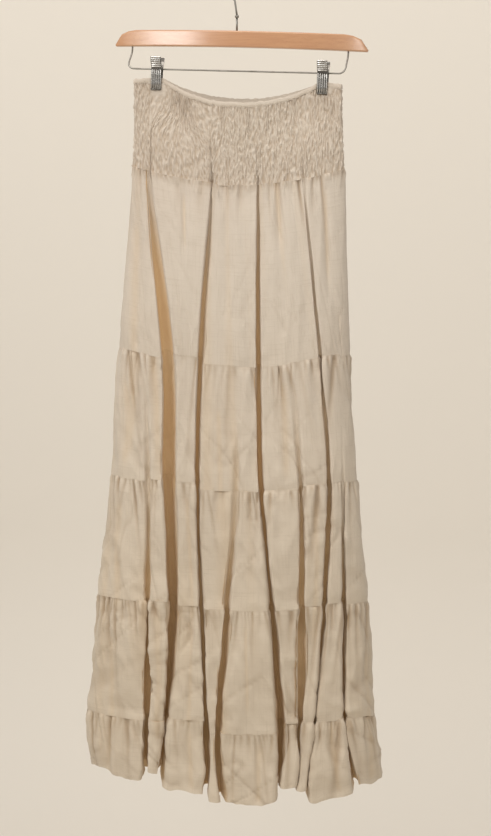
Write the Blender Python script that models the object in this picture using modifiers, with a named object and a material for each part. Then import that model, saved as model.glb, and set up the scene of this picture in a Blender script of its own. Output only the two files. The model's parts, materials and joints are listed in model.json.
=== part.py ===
"""A tiered gypsy skirt with a smocked waist, hung by two metal clips from a wooden hanger.

Metres, +Z up. The origin is the inside top of the hanger's hook, where a rail carries it.
X runs along the hanger, and the skirt's front faces -Y.

The cloth is one tube, cut at its seams into a waist edge, a smocked yoke and five tiers.
Every horizontal section of the tube has nine lobes in front and nine behind, with a
valley between each two. A level is a height on the cloth, counted down its seams: 0 is the
waist's top edge, 1 the foot of the smocking, 2 to 5 the gathered seams and 6 the hem.
"""

import math
from collections import namedtuple

import bmesh
import bpy
import numpy as np
from mathutils import Matrix

MM = 0.001
SEAM_GAP = 0.3 * MM

# The picture looks at the hanger from this far round to its right. Places across the cloth
# were read in the picture, so they are turned back by it.
VIEW_TURN = math.radians(12)

# Hanger
HOOK_WIRE = 2.8 * MM
HOOK_INSIDE_RADIUS = 19 * MM
COLLAR_DROP = 71 * MM
# The neck's bends, as (x, height over the collar) in millimetres.
HOOK_NECK = [(0, 0), (-1.2, 9), (-3, 21), (-6, 26.5), (-11, 32), (-14.8, 36.5)]
COLLAR_HEIGHT = 3 * MM
COLLAR_WIDTH = 6 * MM
BAR_TOP = -93 * MM
BAR_HEIGHT = 24 * MM
BAR_LENGTH = 380 * MM
BAR_THICKNESS = 13 * MM
BAR_SWEEP = 30 * MM
BAR_END_ROUND = 36 * MM
RAIL_WIRE = 2.6 * MM
RAIL_HALF_SPAN = 162 * MM
RAIL_DROP = 34 * MM
RAIL_BEND = 9 * MM
RAIL_TOP_BEND = 31 * MM
RAIL_Z = BAR_TOP - BAR_HEIGHT - RAIL_DROP
# The bar, the rail and the clips lean down to the right, about the stem's foot.
HANGER_LEAN = math.radians(2.4)

# Clips
LEFT_CLIP_X = -117.5 * MM
RIGHT_CLIP_X = 130 * MM
CLIP_WIDTH = 15.5 * MM
CLIP_TOP = RAIL_Z + 17 * MM
CLIP_BOTTOM = RAIL_Z - 30.5 * MM
JAW_SHEET = 1.4 * MM
SPRING_LENGTH = 12 * MM
SPRING_RADIUS = 3.6 * MM

# Cloth
WALL = 1.6 * MM
WALL_SIDES = (WALL / 2, -WALL / 2)
PINCH = 1.3 * MM
PINCH_HALF_WIDTH = 13 * MM
PINCH_FOOT = 0.15
PINCH_OPENING = 1.6
BACK_RISE = 5 * MM
CORNER_DROP = 3 * MM
EDGE_HEIGHT = 7 * MM
WAIST_Z = RAIL_Z - 13 * MM
SMOCK_RELIEF = 2.2 * MM
SMOCK_ROWS = 12
GATHER_DEPTH = 3 * MM
GATHER_DROP = 14 * MM
POINTS_A_GATHER = 3
WAIST_BULGE = 12 * MM
FOLD_HASTE = 1.8
SAG_CURVE = 2.2
CLIP_CLEAR = 12 * MM
CLIP_CLEAR_FADE = 6 * MM
# A valley's floor is this share of its open width wide, and a little more.
FLOOR_SHARE = 0.35
FLOOR_ROOM = 1.1 * MM
# Folds with more than this share of the full depth have full round lobes between them.
FULL_LOBE_SHARE = 0.4
# A valley leans to the left as it goes in, so its floor lies behind the panel beside it.
VALLEY_LEAN = 0.22
# Where the middle of the front cloth stands, as a share of the ridges' depth.
FRONT_DEPTH_SHARE = 0.75
OUTER_BULGE_SHARE = 0.3

# How deep the ridges reach in front and behind, how near the valleys come to the middle, how
# far the sides reach, how much lower the cloth's middle hangs than its sides, how fast a level
# falls towards the right, and how much higher the floor of a full valley hangs.
Level = namedtuple("Level", "name side_z dip ridge core left right lean floor_lift")
LEVELS = [
    Level("waist", WAIST_Z, 33 * MM, 14 * MM, 10 * MM, 154 * MM, 155 * MM, 0.042, 0),
    Level("smocking foot", -290 * MM, 25 * MM, 16 * MM, 9 * MM, 157 * MM, 159 * MM, 0.028, 0),
    Level("seam 1", -560 * MM, 21 * MM, 38 * MM, 10 * MM, 179 * MM, 168 * MM, 0.012, 8 * MM),
    Level("seam 2", -746 * MM, 14 * MM, 52 * MM, 12 * MM, 193 * MM, 179 * MM, 0.004, 8 * MM),
    Level("seam 3", -925 * MM, 8 * MM, 62 * MM, 14 * MM, 214 * MM, 195 * MM, -0.006, 8 * MM),
    Level("seam 4", -1097 * MM, 10 * MM, 70 * MM, 15 * MM, 230 * MM, 206 * MM, -0.010, 10 * MM),
    Level("hem", -1183 * MM, 20 * MM, 76 * MM, 16 * MM, 223 * MM, 219 * MM, -0.008, 18 * MM),
]

# Each valley of the front: its place across the picture, its open width and how much of the
# full depth it has, in millimetres and shares, at levels 1 to 6.
Valley = namedtuple("Valley", "name across gap share")
FRONT_VALLEYS = [
    Valley("left crease", (-141, -134, -128, -129, -130, -132), (2, 3, 4, 6, 8, 10), (0, 0.1, 0.25, 0.35, 0.7, 0.8)),
    Valley("left gap", (-130, -100, -97, -91, -100, -108), (4, 18, 20, 13, 8, 7), (0.6, 0.85, 0.85, 0.85, 0.85, 0.9)),
    Valley("left of centre", (-35, -51, -55, -49, -40, -39), (3, 7, 5, 5, 4, 5), (0.5, 0.6, 0.55, 0.4, 0.5, 0.6)),
    Valley("centre", (-2, 4, 3, -11, -24, -20), (2, 2, 4, 5, 5, 6), (0, 0, 0.15, 0.4, 0.65, 0.7)),
    Valley("right of centre", (32, 34, 39, 54, 68, 65), (4, 6, 7, 9, 10, 8), (0.5, 0.6, 0.6, 0.6, 0.8, 0.8)),
    Valley("right pleat", (60, 81, 95, 97, 96, 91), (2, 3, 5, 6, 6, 6), (0, 0.05, 0.35, 0.4, 0.5, 0.55)),
    Valley("right gap", (98, 121, 133, 128, 115, 104), (3, 4, 5, 7, 4, 4), (0.3, 0.45, 0.55, 0.6, 0.6, 0.6)),
    Valley("right crease", (126, 146, 151, 153, 156, 170), (3, 2, 3, 6, 5, 5), (0, 0.05, 0.2, 0.7, 0.8, 0.7)),
]
# The back isn't shown, so its valleys are plain: places as shares of the half width.
BACK_VALLEYS = [
    Valley("back 1", (0.80, 0.80, 0.78, 0.76, 0.77, 0.78), (2, 4, 5, 6, 7, 8), (0.1, 0.3, 0.5, 0.6, 0.7, 0.7)),
    Valley("back 2", (0.60, 0.57, 0.58, 0.56, 0.54, 0.55), (3, 5, 6, 8, 9, 9), (0.4, 0.6, 0.7, 0.8, 0.8, 0.9)),
    Valley("back 3", (0.38, 0.36, 0.33, 0.35, 0.36, 0.34), (2, 4, 5, 6, 6, 8), (0.1, 0.2, 0.4, 0.6, 0.7, 0.7)),
    Valley("back 4", (0.14, 0.12, 0.13, 0.11, 0.10, 0.11), (3, 6, 9, 11, 12, 11), (0.5, 0.7, 0.8, 0.8, 0.8, 0.9)),
    Valley("back 5", (-0.12, -0.12, -0.10, -0.12, -0.13, -0.12), (2, 3, 4, 5, 6, 7), (0, 0.1, 0.3, 0.5, 0.6, 0.7)),
    Valley("back 6", (-0.34, -0.35, -0.36, -0.33, -0.34, -0.35), (3, 6, 8, 8, 9, 10), (0.4, 0.6, 0.7, 0.7, 0.8, 0.8)),
    Valley("back 7", (-0.57, -0.55, -0.57, -0.56, -0.57, -0.58), (2, 4, 5, 7, 6, 8), (0.2, 0.4, 0.5, 0.7, 0.7, 0.7)),
    Valley("back 8", (-0.79, -0.78, -0.77, -0.78, -0.79, -0.78), (2, 4, 5, 7, 8, 8), (0, 0.2, 0.4, 0.6, 0.8, 0.8)),
]
# How much higher each panel between the front valleys hangs than the even sag, in millimetres
# at levels 1 to 6. The back hangs evenly.
Panel = namedtuple("Panel", "name lift")
FRONT_PANELS = [
    Panel("left side", (0, 6, 4, 5, 4, 10)),
    Panel("left roll", (0, 5, 9, 8, 5, 18)),
    Panel("left of middle", (1, 13, 9, 4, 11, -3)),
    Panel("middle left", (-2, 3, 0, 0, -7, -13)),
    Panel("middle right", (-1, 0, -1, -1, -7, -12)),
    Panel("right of middle", (0, 0, 0, 0, 9, 12)),
    Panel("narrow right", (0, 4, 4, 5, 9, 4)),
    Panel("right", (0, 5, 5, 7, 9, -14)),
    Panel("right side", (0, 0, 2, 2, 9, -3)),
]
BACK_PANELS = [Panel("back", (0, 0, 0, 0, 0, 0))] * (len(BACK_VALLEYS) + 1)

# The seven points of a lobe's outline: how far it has risen from the valley to the ridge, and
# how far it lies across the lobe, for an even curve and for a full round lobe.
LobePoint = namedtuple("LobePoint", "rise even full gather")
LOBE = [
    LobePoint(0.00, 0.03, None, 0.2),
    LobePoint(0.70, 0.18, 0.00, 0.5),
    LobePoint(0.97, 0.34, 0.12, 1.0),
    LobePoint(1.00, 0.50, 0.50, 1.0),
    LobePoint(0.97, 0.66, 0.88, 1.0),
    LobePoint(0.70, 0.82, 1.00, 0.5),
    LobePoint(0.00, 0.97, None, 0.2),
]
LOBES = 2 * (len(FRONT_VALLEYS) + 1)
RING = LOBES * len(LOBE)
LOBE_HOLD = np.array([point.gather for point in LOBE] * LOBES)

# Each finish is a name, a linear colour, a roughness and a metallic value.
LINEN = ("linen", (0.62, 0.50, 0.37), 0.9, 0.0)
WOOD = ("honey wood", (0.62, 0.32, 0.15), 0.35, 0.0)
STEEL = ("steel", (0.55, 0.54, 0.52), 0.3, 1.0)


def clear_scene():
    for obj in list(bpy.data.objects):
        bpy.data.objects.remove(obj, do_unlink=True)


def material(finish):
    name, colour, roughness, metallic = finish
    made = bpy.data.materials.get(name)
    if made is None:
        made = bpy.data.materials.new(name)
        made.use_nodes = True
        shader = made.node_tree.nodes["Principled BSDF"]
        shader.inputs["Base Color"].default_value = (*colour, 1.0)
        shader.inputs["Roughness"].default_value = roughness
        shader.inputs["Metallic"].default_value = metallic
    return made


def add_part(name, data, finish):
    obj = bpy.data.objects.new(name, data)
    bpy.data.collections["gypsy_skirt"].objects.link(obj)
    data.materials.append(material(finish))
    return obj


def mesh_from(name, points, faces):
    """A mesh whose points are rows of an array."""
    mesh = bpy.data.meshes.new(name)
    mesh.from_pydata([tuple(map(float, p)) for p in points], [], faces)
    return mesh


# Cloth sections


def smooth(values, at):
    """A smooth value between the numbers of a column, read at a fraction of the way down it."""
    last = len(values) - 1
    i = min(int(at), last - 1)
    t = at - i
    before, start = values[max(i - 1, 0)], values[i]
    end, after = values[i + 1], values[min(i + 2, last)]
    slope_in, slope_out = (end - before) / 2, (after - start) / 2
    return (
        (2 * t**3 - 3 * t**2 + 1) * start
        + (t**3 - 2 * t**2 + t) * slope_in
        + (3 * t**2 - 2 * t**3) * end
        + (t**3 - t**2) * slope_out
    )


def fold_level(level):
    """Folds open fast under the smocking, so their level runs ahead of the cloth's there."""
    if 1 < level < 2:
        return 2 - (2 - level) ** FOLD_HASTE
    return level


def column(name, level):
    return smooth([getattr(row, name) for row in LEVELS], level)


def ease(t):
    t = min(max(t, 0.0), 1.0)
    return t * t * (3 - 2 * t)


def half_depth(x, level):
    """How far the ridges stand from the middle plane at a place across the cloth."""
    side = column("right", level) if x > 0 else column("left", level)
    share = min(abs(x) / side, 1.0)
    open_depth = column("ridge", fold_level(level)) * (1 - share**3) ** 0.5
    opened = ease((level - PINCH_FOOT) * PINCH_OPENING)
    return pinched_depth(x, side) * (1 - opened) + open_depth * opened


def pinched_depth(x, side):
    """The half depth at the top edge, where the clips press both layers together."""
    clip_x = abs(clip_side(x))
    from_clip = abs(abs(x) - clip_x) - PINCH_HALF_WIDTH
    if from_clip <= 0:
        return PINCH
    inside = abs(x) < clip_x
    room = (clip_x if inside else side - clip_x) - PINCH_HALF_WIDTH
    bulge = WAIST_BULGE if inside else WAIST_BULGE * OUTER_BULGE_SHARE
    return PINCH + bulge * math.sin(math.pi / 2 * min(from_clip / room, 1.0)) ** 2


def clip_side(x):
    """The place of the clip on the same side of the middle."""
    return RIGHT_CLIP_X if x > 0 else LEFT_CLIP_X


def place(valley, level, front):
    """A valley's place along X, its open width and its share of the full depth at a level."""
    row = max(level - 1, 0.0)
    fold_row = max(fold_level(level) - 1, 0.0)
    across = smooth(valley.across, row)
    gap = max(smooth(valley.gap, fold_row), 2.0) * MM
    share = min(max(smooth(valley.share, fold_row), 0.0), 1.0) * ease(level)
    if front:
        ridge = FRONT_DEPTH_SHARE * column("ridge", fold_level(level))
        x = (across * MM + ridge * math.sin(VIEW_TURN)) / math.cos(VIEW_TURN)
    else:
        x = across * (column("right", level) if across > 0 else column("left", level))
    return x, gap, share


def lift(panel, level):
    return smooth(panel.lift, max(level - 1, 0.0)) * MM * min(level, 1.0)


def lobe_points(start, end, lifts, level):
    """Seven points over one lobe, each an x, a y and how much higher it hangs than the sag.

    The lobe lies between two valleys given as (x, gap, share), and lifts are those of the
    panel before it, its own and the panel after it.
    """
    way = 1 if end[0] > start[0] else -1
    reach = [start[0] + way * (start[1] + WALL) / 2, end[0] - way * (end[1] + WALL) / 2]
    core = column("core", level)
    points = []
    for i, point in enumerate(LOBE):
        near = start if i < len(LOBE) / 2 else end
        even = start[0] + (end[0] - start[0]) * point.even
        if point.full is None:
            full = near[0] + (way if near is start else -way) * (FLOOR_SHARE * near[1] + FLOOR_ROOM)
        else:
            full = reach[0] + (reach[1] - reach[0]) * point.full
        x = even + (full - even) * ease(near[2] / FULL_LOBE_SHARE)
        depth = half_depth(x, level)
        sunk = max(half_depth(near[0], level) - core, 0.0) * near[2] * (1 - point.rise)
        floor = (lifts[1] + lifts[0 if near is start else 2]) / 2 + column("floor_lift", level) * near[2]
        higher = floor + (lifts[1] - floor) * point.rise
        kept = max(depth - sunk, min(depth, core))
        points.append((x - way * VALLEY_LEAN * (depth - kept), -way * kept, higher))
    return points


def section(level):
    """The cloth's middle line and lifts at a level, from its left side along the front and back."""
    left, right = -column("left", level), column("right", level)
    side_gap = 0.6 * MM
    front = [place(v, level, True) for v in FRONT_VALLEYS]
    back = [place(v, level, False) for v in BACK_VALLEYS]
    points = []
    left_side, right_side = (left, side_gap, 0), (right, side_gap, 0)
    lifts = [lift(panel, level) for panel in FRONT_PANELS + BACK_PANELS]
    around = [left_side, *front, right_side, *back, left_side]
    for i, (start, end) in enumerate(zip(around, around[1:])):
        own = (lifts[i - 1], lifts[i], lifts[(i + 1) % len(lifts)])
        points += lobe_points(start, end, own, level)
    return np.array(points)


def waist_height(x, y):
    """The top edge sags between the clips, more in front than behind."""
    inner = abs(clip_side(x)) - PINCH_HALF_WIDTH / 2
    dip = LEVELS[0].dip if y < 0 else LEVELS[0].dip - BACK_RISE
    if abs(x) < inner:
        return WAIST_Z - dip * (1 - (abs(x) / inner) ** SAG_CURVE)
    return WAIST_Z - CORNER_DROP * ((abs(x) - inner) / (LEVELS[0].right - inner)) ** 2


def height(x, y, level):
    lean = x * column("lean", level)
    if level >= 1:
        side = column("right", level) if x > 0 else column("left", level)
        sag = column("dip", level) * (1 - min(abs(x) / side, 1) ** 2)
        return column("side_z", level) - sag - lean
    foot = LEVELS[1].side_z - LEVELS[1].dip * (1 - min(abs(x) / LEVELS[1].left, 1) ** 2)
    return waist_height(x, y) * (1 - level) + foot * level - lean


def outward(line):
    """Unit normals of a closed line that runs anticlockwise, seen from above."""
    along = np.roll(line, -1, axis=0) - np.roll(line, 1, axis=0)
    along /= np.linalg.norm(along, axis=1)[:, None]
    return np.stack([along[:, 1], -along[:, 0]], axis=1)


def ring(level, out, drop=0.0):
    """The cloth's points at a level, stood out from its middle line and moved down by drop."""
    points = section(level)
    line = points[:, :2]
    moved = line + outward(line) * np.asarray(out).reshape(-1, 1)
    heights = [height(x, y, level) + higher - drop for x, y, higher in points]
    return np.column_stack([moved, heights])


def gather_waves(seed):
    """How far each point of a ring stands out in the gathers under a seam."""
    chance = np.random.default_rng(seed)
    waves = RING // POINTS_A_GATHER
    crest = chance.uniform(0.45, 1.0, waves)
    wave = np.zeros(RING)
    wave[::POINTS_A_GATHER] = crest
    wave[1::POINTS_A_GATHER] = -0.5 * crest
    wave[2::POINTS_A_GATHER] = -0.3 * crest
    return GATHER_DEPTH * wave * LOBE_HOLD


def cloth_tube(name, outer, inner):
    """An open tube of cloth between its outer rings and its inner rings, both from the top.

    Both ends are split the same way, from an outer point to the next inner one, so that two
    pieces fit together along a seam that rises and falls.
    """
    points = np.vstack(outer + inner[::-1])
    rings = len(points) // RING
    faces = []
    for k in range(rings):
        below = (k + 1) % rings
        for i in range(RING):
            j = (i + 1) % RING
            quad = (k * RING + i, below * RING + i, below * RING + j, k * RING + j)
            if k == len(outer) - 1:
                faces += [quad[:3], (quad[0], quad[2], quad[3])]
            elif k == rings - 1:
                faces += [(quad[0], quad[1], quad[3]), quad[1:]]
            else:
                faces.append(quad)
    obj = add_part(name, mesh_from(name, points, faces), LINEN)
    obj.data.shade_smooth()
    return obj


def waist_edge():
    outer, inner = ([ring(0.0, out, drop) for drop in (0.0, EDGE_HEIGHT)] for out in WALL_SIDES)
    return cloth_tube("waist_edge", outer, inner)


def smocked_yoke():
    """A wall with a plain inside and puckers raised in its outer points."""
    chance = np.random.default_rng(7)
    outer = []
    for row, level in enumerate(np.linspace(0, 1, SMOCK_ROWS + 1)):
        pucker = chance.uniform(-0.2, 1.0, RING) * (1 if 0 < row < SMOCK_ROWS else 0)
        pucker *= 1 - 1.6 * (np.arange(RING) % 2) * (row % 2)
        pucker *= 1 + (LOBE_HOLD - 1) * level
        line = section(level)
        from_clip = np.array([abs(x - clip_side(x)) for x in line[:, 0]])
        clear_of_clip = np.clip((from_clip - CLIP_CLEAR) / CLIP_CLEAR_FADE, 0, 1)
        hold = clear_of_clip if level < 0.35 else 1.0
        outer.append(yoke_ring(level, WALL / 2 + SMOCK_RELIEF * pucker * hold))
    inner = [yoke_ring(level, -WALL / 2) for level in (0.0, 0.33, 0.66, 1.0)]
    return cloth_tube("smocked_yoke", outer, inner)


def yoke_ring(level, out):
    """A ring of the yoke, which starts just under the waist edge."""
    return ring(level, out, drop=(EDGE_HEIGHT + SEAM_GAP) * (1 - level))


def tier(number, rows):
    """One tier of the skirt, gathered into the seam above it."""
    sides = []
    for out in WALL_SIDES:
        rings = [ring(float(number), out, drop=SEAM_GAP)]
        if number > 1:
            gathered = ring(number + 0.08, out + gather_waves(number))
            gathered[:, 2] = rings[0][:, 2] - GATHER_DROP
            rings.append(gathered)
        sides.append(rings + [ring(number + share, out) for share in rows])
    return cloth_tube(f"tier_{number}", *sides)


# Hanger and clips


def wooden_bar():
    """A bar that sweeps back to its ends, with its top corners rounded down to the tips."""
    bpy.ops.mesh.primitive_cube_add(size=1)
    bar = bpy.context.object
    bar.name = "hanger_bar"
    half = BAR_LENGTH / 2
    mesh = bmesh.new()
    mesh.from_mesh(bar.data)
    along = [e for e in mesh.edges if abs(e.verts[0].co.x - e.verts[1].co.x) > 0.5]
    bmesh.ops.subdivide_edges(mesh, edges=along, cuts=27, use_grid_fill=True)
    for vert in mesh.verts:
        # Points stand closer together towards the rounded ends.
        share = math.sin(vert.co.x * math.pi) * 0.25 + vert.co.x * 1.5
        x = share * half
        from_end = half - abs(x)
        round_off = max(1 - from_end / BAR_END_ROUND, 0.0)
        rise = 0.12 + 0.88 * math.sqrt(max(1 - round_off**2, 0.0))
        z = BAR_TOP - BAR_HEIGHT + (vert.co.z + 0.5) * BAR_HEIGHT * rise
        y = vert.co.y * BAR_THICKNESS * (0.55 + 0.45 * rise) + BAR_SWEEP * (x / half) ** 2
        vert.co = (x, y, z)
    mesh.to_mesh(bar.data)
    mesh.free()
    move_to_parts(bar, WOOD)
    rounding = bar.modifiers.new("rounding", "BEVEL")
    rounding.width = 2.5 * MM
    rounding.segments = 2
    rounding.limit_method = "ANGLE"
    rounding.angle_limit = math.radians(50)
    return bar


def move_to_parts(obj, finish):
    for collection in list(obj.users_collection):
        collection.objects.unlink(obj)
    bpy.data.collections["gypsy_skirt"].objects.link(obj)
    obj.data.materials.append(material(finish))
    return obj


def wire(name, points, thickness):
    """A round wire along points, with closed ends."""
    curve = bpy.data.curves.new(name, "CURVE")
    curve.dimensions = "3D"
    line = curve.splines.new("POLY")
    line.points.add(len(points) - 1)
    for point, at in zip(line.points, points):
        point.co = (*at, 1)
    curve.bevel_depth = thickness / 2
    curve.bevel_resolution = 2
    curve.use_fill_caps = True
    return add_part(name, curve, STEEL)


def hook():
    """The hook rises from its collar, bends out to the left and turns over to the right."""
    radius = HOOK_INSIDE_RADIUS + HOOK_WIRE / 2
    points = [(x * MM, 0, z * MM - COLLAR_DROP) for x, z in HOOK_NECK]
    points[0] = (0, 0, SEAM_GAP - COLLAR_DROP)
    for degrees in range(215, -31, -15):
        angle = math.radians(degrees)
        points.append((radius * math.cos(angle), 0, radius * math.sin(angle) - HOOK_INSIDE_RADIUS))
    return wire("hook", points, HOOK_WIRE)


def cylinder(name, radius, length, at, along_x, finish):
    bpy.ops.mesh.primitive_cylinder_add(vertices=20, radius=radius, depth=length, location=at)
    obj = bpy.context.object
    obj.name = name
    if along_x:
        obj.rotation_euler = (0, math.pi / 2, 0)
    obj.data.shade_smooth()
    obj.data.set_sharp_from_angle(angle=math.radians(40))
    return move_to_parts(obj, finish)


def hook_foot():
    """The collar that the hook stands on, and the stem down to the bar."""
    collar_z = -COLLAR_DROP - COLLAR_HEIGHT / 2
    cylinder("hook_collar", COLLAR_WIDTH / 2, COLLAR_HEIGHT, (0, 0, collar_z), False, STEEL)
    top = -COLLAR_DROP - COLLAR_HEIGHT - SEAM_GAP
    length = top - BAR_TOP - SEAM_GAP
    cylinder("hook_stem", HOOK_WIRE / 2, length, (0, 0, top - length / 2), False, STEEL)


def rail():
    """The wire that carries the clips, bent up into the bar at both ends."""
    half, bend = RAIL_HALF_SPAN, RAIL_BEND
    seat = BAR_SWEEP * (half / (BAR_LENGTH / 2)) ** 2
    end_z = BAR_TOP - BAR_HEIGHT - SEAM_GAP
    corner = [math.radians(a) for a in range(0, 91, 18)]
    path = [(half - bend + bend * math.sin(a), bend - bend * math.cos(a)) for a in corner]
    path += [(half, bend + (RAIL_TOP_BEND - bend) * share) for share in (0.2, 0.4, 0.6, 0.8, 1)]
    path.append((half, end_z - RAIL_Z))
    points = [(x, seat * ease(z / RAIL_TOP_BEND), RAIL_Z + z) for x, z in path]
    mirrored = [(-x, y, z) for x, y, z in reversed(points)]
    return wire("clip_rail", mirrored + points, RAIL_WIRE)


def jaw_outline():
    """One jaw from the side, as (distance out, height) pairs down its inner face."""
    lip = PINCH + WALL / 2 + SEAM_GAP
    shoulder = SPRING_RADIUS + SEAM_GAP
    return [
        (10.6 * MM, CLIP_TOP),
        (9.6 * MM, CLIP_TOP - 5 * MM),
        (shoulder + 2.2 * MM, RAIL_Z + 6.5 * MM),
        (shoulder, RAIL_Z + 2.5 * MM),
        (shoulder, RAIL_Z - 3 * MM),
        (lip + 0.9 * MM, RAIL_Z - 10 * MM),
        (lip, CLIP_BOTTOM + 9 * MM),
        (lip, CLIP_BOTTOM),
    ]


def jaw(name, x, side):
    """A bent strip of sheet steel as wide as the clip. Side is -1 in front, 1 behind."""
    inner = jaw_outline()
    points, faces = [], []
    for edge in (-1, 1):
        for out, z in inner:
            points.append((x + edge * CLIP_WIDTH / 2, side * out, z))
    count = len(inner)
    for i in range(count - 1):
        quad = (i, i + 1, count + i + 1, count + i)
        faces.append(quad if side < 0 else quad[::-1])
    obj = add_part(name, mesh_from(name, points, faces), STEEL)
    sheet = obj.modifiers.new("sheet", "SOLIDIFY")
    sheet.thickness = JAW_SHEET
    sheet.offset = 1
    sheet.use_even_offset = True
    return obj


def spring(name, x):
    """The spring's barrel, a turned ring that the rail passes through."""
    inside = RAIL_WIRE / 2 + SEAM_GAP
    half = SPRING_LENGTH / 2
    profile = [(SPRING_RADIUS, half), (SPRING_RADIUS, -half), (inside, -half), (inside, half)]
    mesh = bpy.data.meshes.new(name)
    edges = [(i, (i + 1) % len(profile)) for i in range(len(profile))]
    mesh.from_pydata([(r, 0, z) for r, z in profile], edges, [])
    obj = add_part(name, mesh, STEEL)
    turn = obj.modifiers.new("turn", "SCREW")
    turn.axis = "Z"
    turn.steps = 20
    turn.render_steps = 20
    turn.use_merge_vertices = True
    turn.merge_threshold = 0.00001
    obj.rotation_euler = (0, math.pi / 2, 0)
    obj.location = (x, 0, RAIL_Z)
    return obj


def clip(side_name, x):
    jaw(f"clip_{side_name}_front_jaw", x, -1)
    jaw(f"clip_{side_name}_back_jaw", x, 1)
    spring(f"clip_{side_name}_spring", x)


def lean_hanger():
    """Turn all that hangs below the stem about the stem's foot."""
    foot = Matrix.Translation((0, 0, BAR_TOP))
    turn = foot @ Matrix.Rotation(HANGER_LEAN, 4, "Y") @ foot.inverted()
    bpy.context.view_layer.update()
    for obj in bpy.data.collections["gypsy_skirt"].objects:
        if obj.name.startswith(("hanger_bar", "clip_")):
            obj.matrix_world = turn @ obj.matrix_world


def main():
    clear_scene()
    bpy.context.scene.collection.children.link(bpy.data.collections.new("gypsy_skirt"))
    waist_edge()
    smocked_yoke()
    tier(1, rows=(0.2, 0.5, 1.0))
    for number in (2, 3, 4, 5):
        tier(number, rows=(1.0,))
    wooden_bar()
    hook()
    hook_foot()
    rail()
    clip("left", LEFT_CLIP_X)
    clip("right", RIGHT_CLIP_X)
    lean_hanger()


main()
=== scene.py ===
# %% [markdown]
# A tiered linen skirt with a smocked waist, hanging from a wooden clip hanger.
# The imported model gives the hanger, and a solid of the right size for each piece of cloth.
# This lesson gives every cloth piece a thin, rumpled shell of its own, and every part a finish.

import json
import math
from collections import namedtuple

import bmesh
import bpy
import numpy as np
from mathutils import Matrix, Vector

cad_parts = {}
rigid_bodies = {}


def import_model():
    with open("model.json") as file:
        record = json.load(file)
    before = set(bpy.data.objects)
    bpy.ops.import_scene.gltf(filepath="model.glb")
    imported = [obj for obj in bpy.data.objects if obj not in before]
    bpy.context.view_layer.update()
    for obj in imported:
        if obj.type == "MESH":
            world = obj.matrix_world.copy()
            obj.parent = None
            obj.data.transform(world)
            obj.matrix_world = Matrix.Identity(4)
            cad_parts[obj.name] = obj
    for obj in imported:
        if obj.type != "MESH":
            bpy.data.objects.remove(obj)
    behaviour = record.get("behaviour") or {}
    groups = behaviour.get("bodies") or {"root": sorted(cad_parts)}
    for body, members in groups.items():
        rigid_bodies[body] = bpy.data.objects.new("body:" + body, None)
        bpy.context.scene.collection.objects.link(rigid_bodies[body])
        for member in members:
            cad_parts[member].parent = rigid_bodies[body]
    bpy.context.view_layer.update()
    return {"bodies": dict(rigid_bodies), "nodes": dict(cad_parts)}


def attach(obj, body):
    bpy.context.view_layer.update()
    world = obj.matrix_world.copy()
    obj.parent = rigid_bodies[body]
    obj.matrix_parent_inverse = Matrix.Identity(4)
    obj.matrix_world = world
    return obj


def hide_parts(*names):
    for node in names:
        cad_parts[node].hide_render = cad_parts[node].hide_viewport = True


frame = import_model()
MM = 0.001
body = next(iter(frame["bodies"]))
print("nodes in the frame:", sorted(frame["nodes"]))

# %% [markdown]
# The camera comes first, because places on the cloth are read across the picture.
# It stands a little to the hanger's right and a little above the middle of the skirt.

# %% Camera
VIEW_TURN = math.radians(12)
VIEW_RISE = math.radians(4)
DISTANCE = 3.2
PHOTO_ROWS = 836
FRAME_HEIGHT = PHOTO_ROWS * 1.474 * MM
ACROSS, DOWN = 12.5 * MM, -658 * MM
MIDDLE = Vector((ACROSS * math.cos(VIEW_TURN), ACROSS * math.sin(VIEW_TURN), DOWN))
toward_camera = Vector((
    math.sin(VIEW_TURN) * math.cos(VIEW_RISE),
    -math.cos(VIEW_TURN) * math.cos(VIEW_RISE),
    math.sin(VIEW_RISE),
))
camera = bpy.data.objects.new("camera", bpy.data.cameras.new("camera"))
bpy.context.scene.collection.objects.link(camera)
camera.data.lens = camera.data.sensor_width * DISTANCE / FRAME_HEIGHT
camera.location = MIDDLE + toward_camera * DISTANCE
camera.rotation_euler = toward_camera.to_track_quat("Z", "Y").to_euler()
bpy.context.scene.camera = camera
print("lens in mm:", round(camera.data.lens, 1))

# %% [markdown]
# The cloth is one tube, cut at its seams into a waist edge, a smocked yoke and five tiers.
# A level counts down the seams: 0 is the top edge, 1 the smocking's foot, 6 the hem. Most
# numbers are those of the CAD source, so every shell lies on its solid. Three narrow folds are
# a little shallower here, and all folds have squarer edges, as the thin cloth has.

# %% Sizes of the cloth
WALL = 1.6 * MM
SEAM_GAP = 0.3 * MM
BAR_TOP = -93 * MM
RAIL_Z = BAR_TOP - 58 * MM
WAIST_Z = RAIL_Z - 13 * MM
CLIP_BOTTOM = RAIL_Z - 30.5 * MM
LEFT_CLIP_X = -117.5 * MM
RIGHT_CLIP_X = 130 * MM
PINCH = 1.3 * MM
PINCH_HALF_WIDTH = 13 * MM
PINCH_FOOT = 0.15
PINCH_OPENING = 1.6
BACK_RISE = 7 * MM
CORNER_DROP = 3 * MM
EDGE_HEIGHT = 7 * MM
WAIST_BULGE = 12 * MM
OUTER_BULGE_SHARE = 0.3
FOLD_HASTE = 1.8
SAG_CURVE = 2.2
FLOOR_SHARE = 0.35
FLOOR_ROOM = 1.1 * MM
FULL_LOBE_SHARE = 0.4
VALLEY_LEAN = 0.26
FRONT_DEPTH_SHARE = 0.75
CRISP_EDGE = 4 * MM

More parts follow.
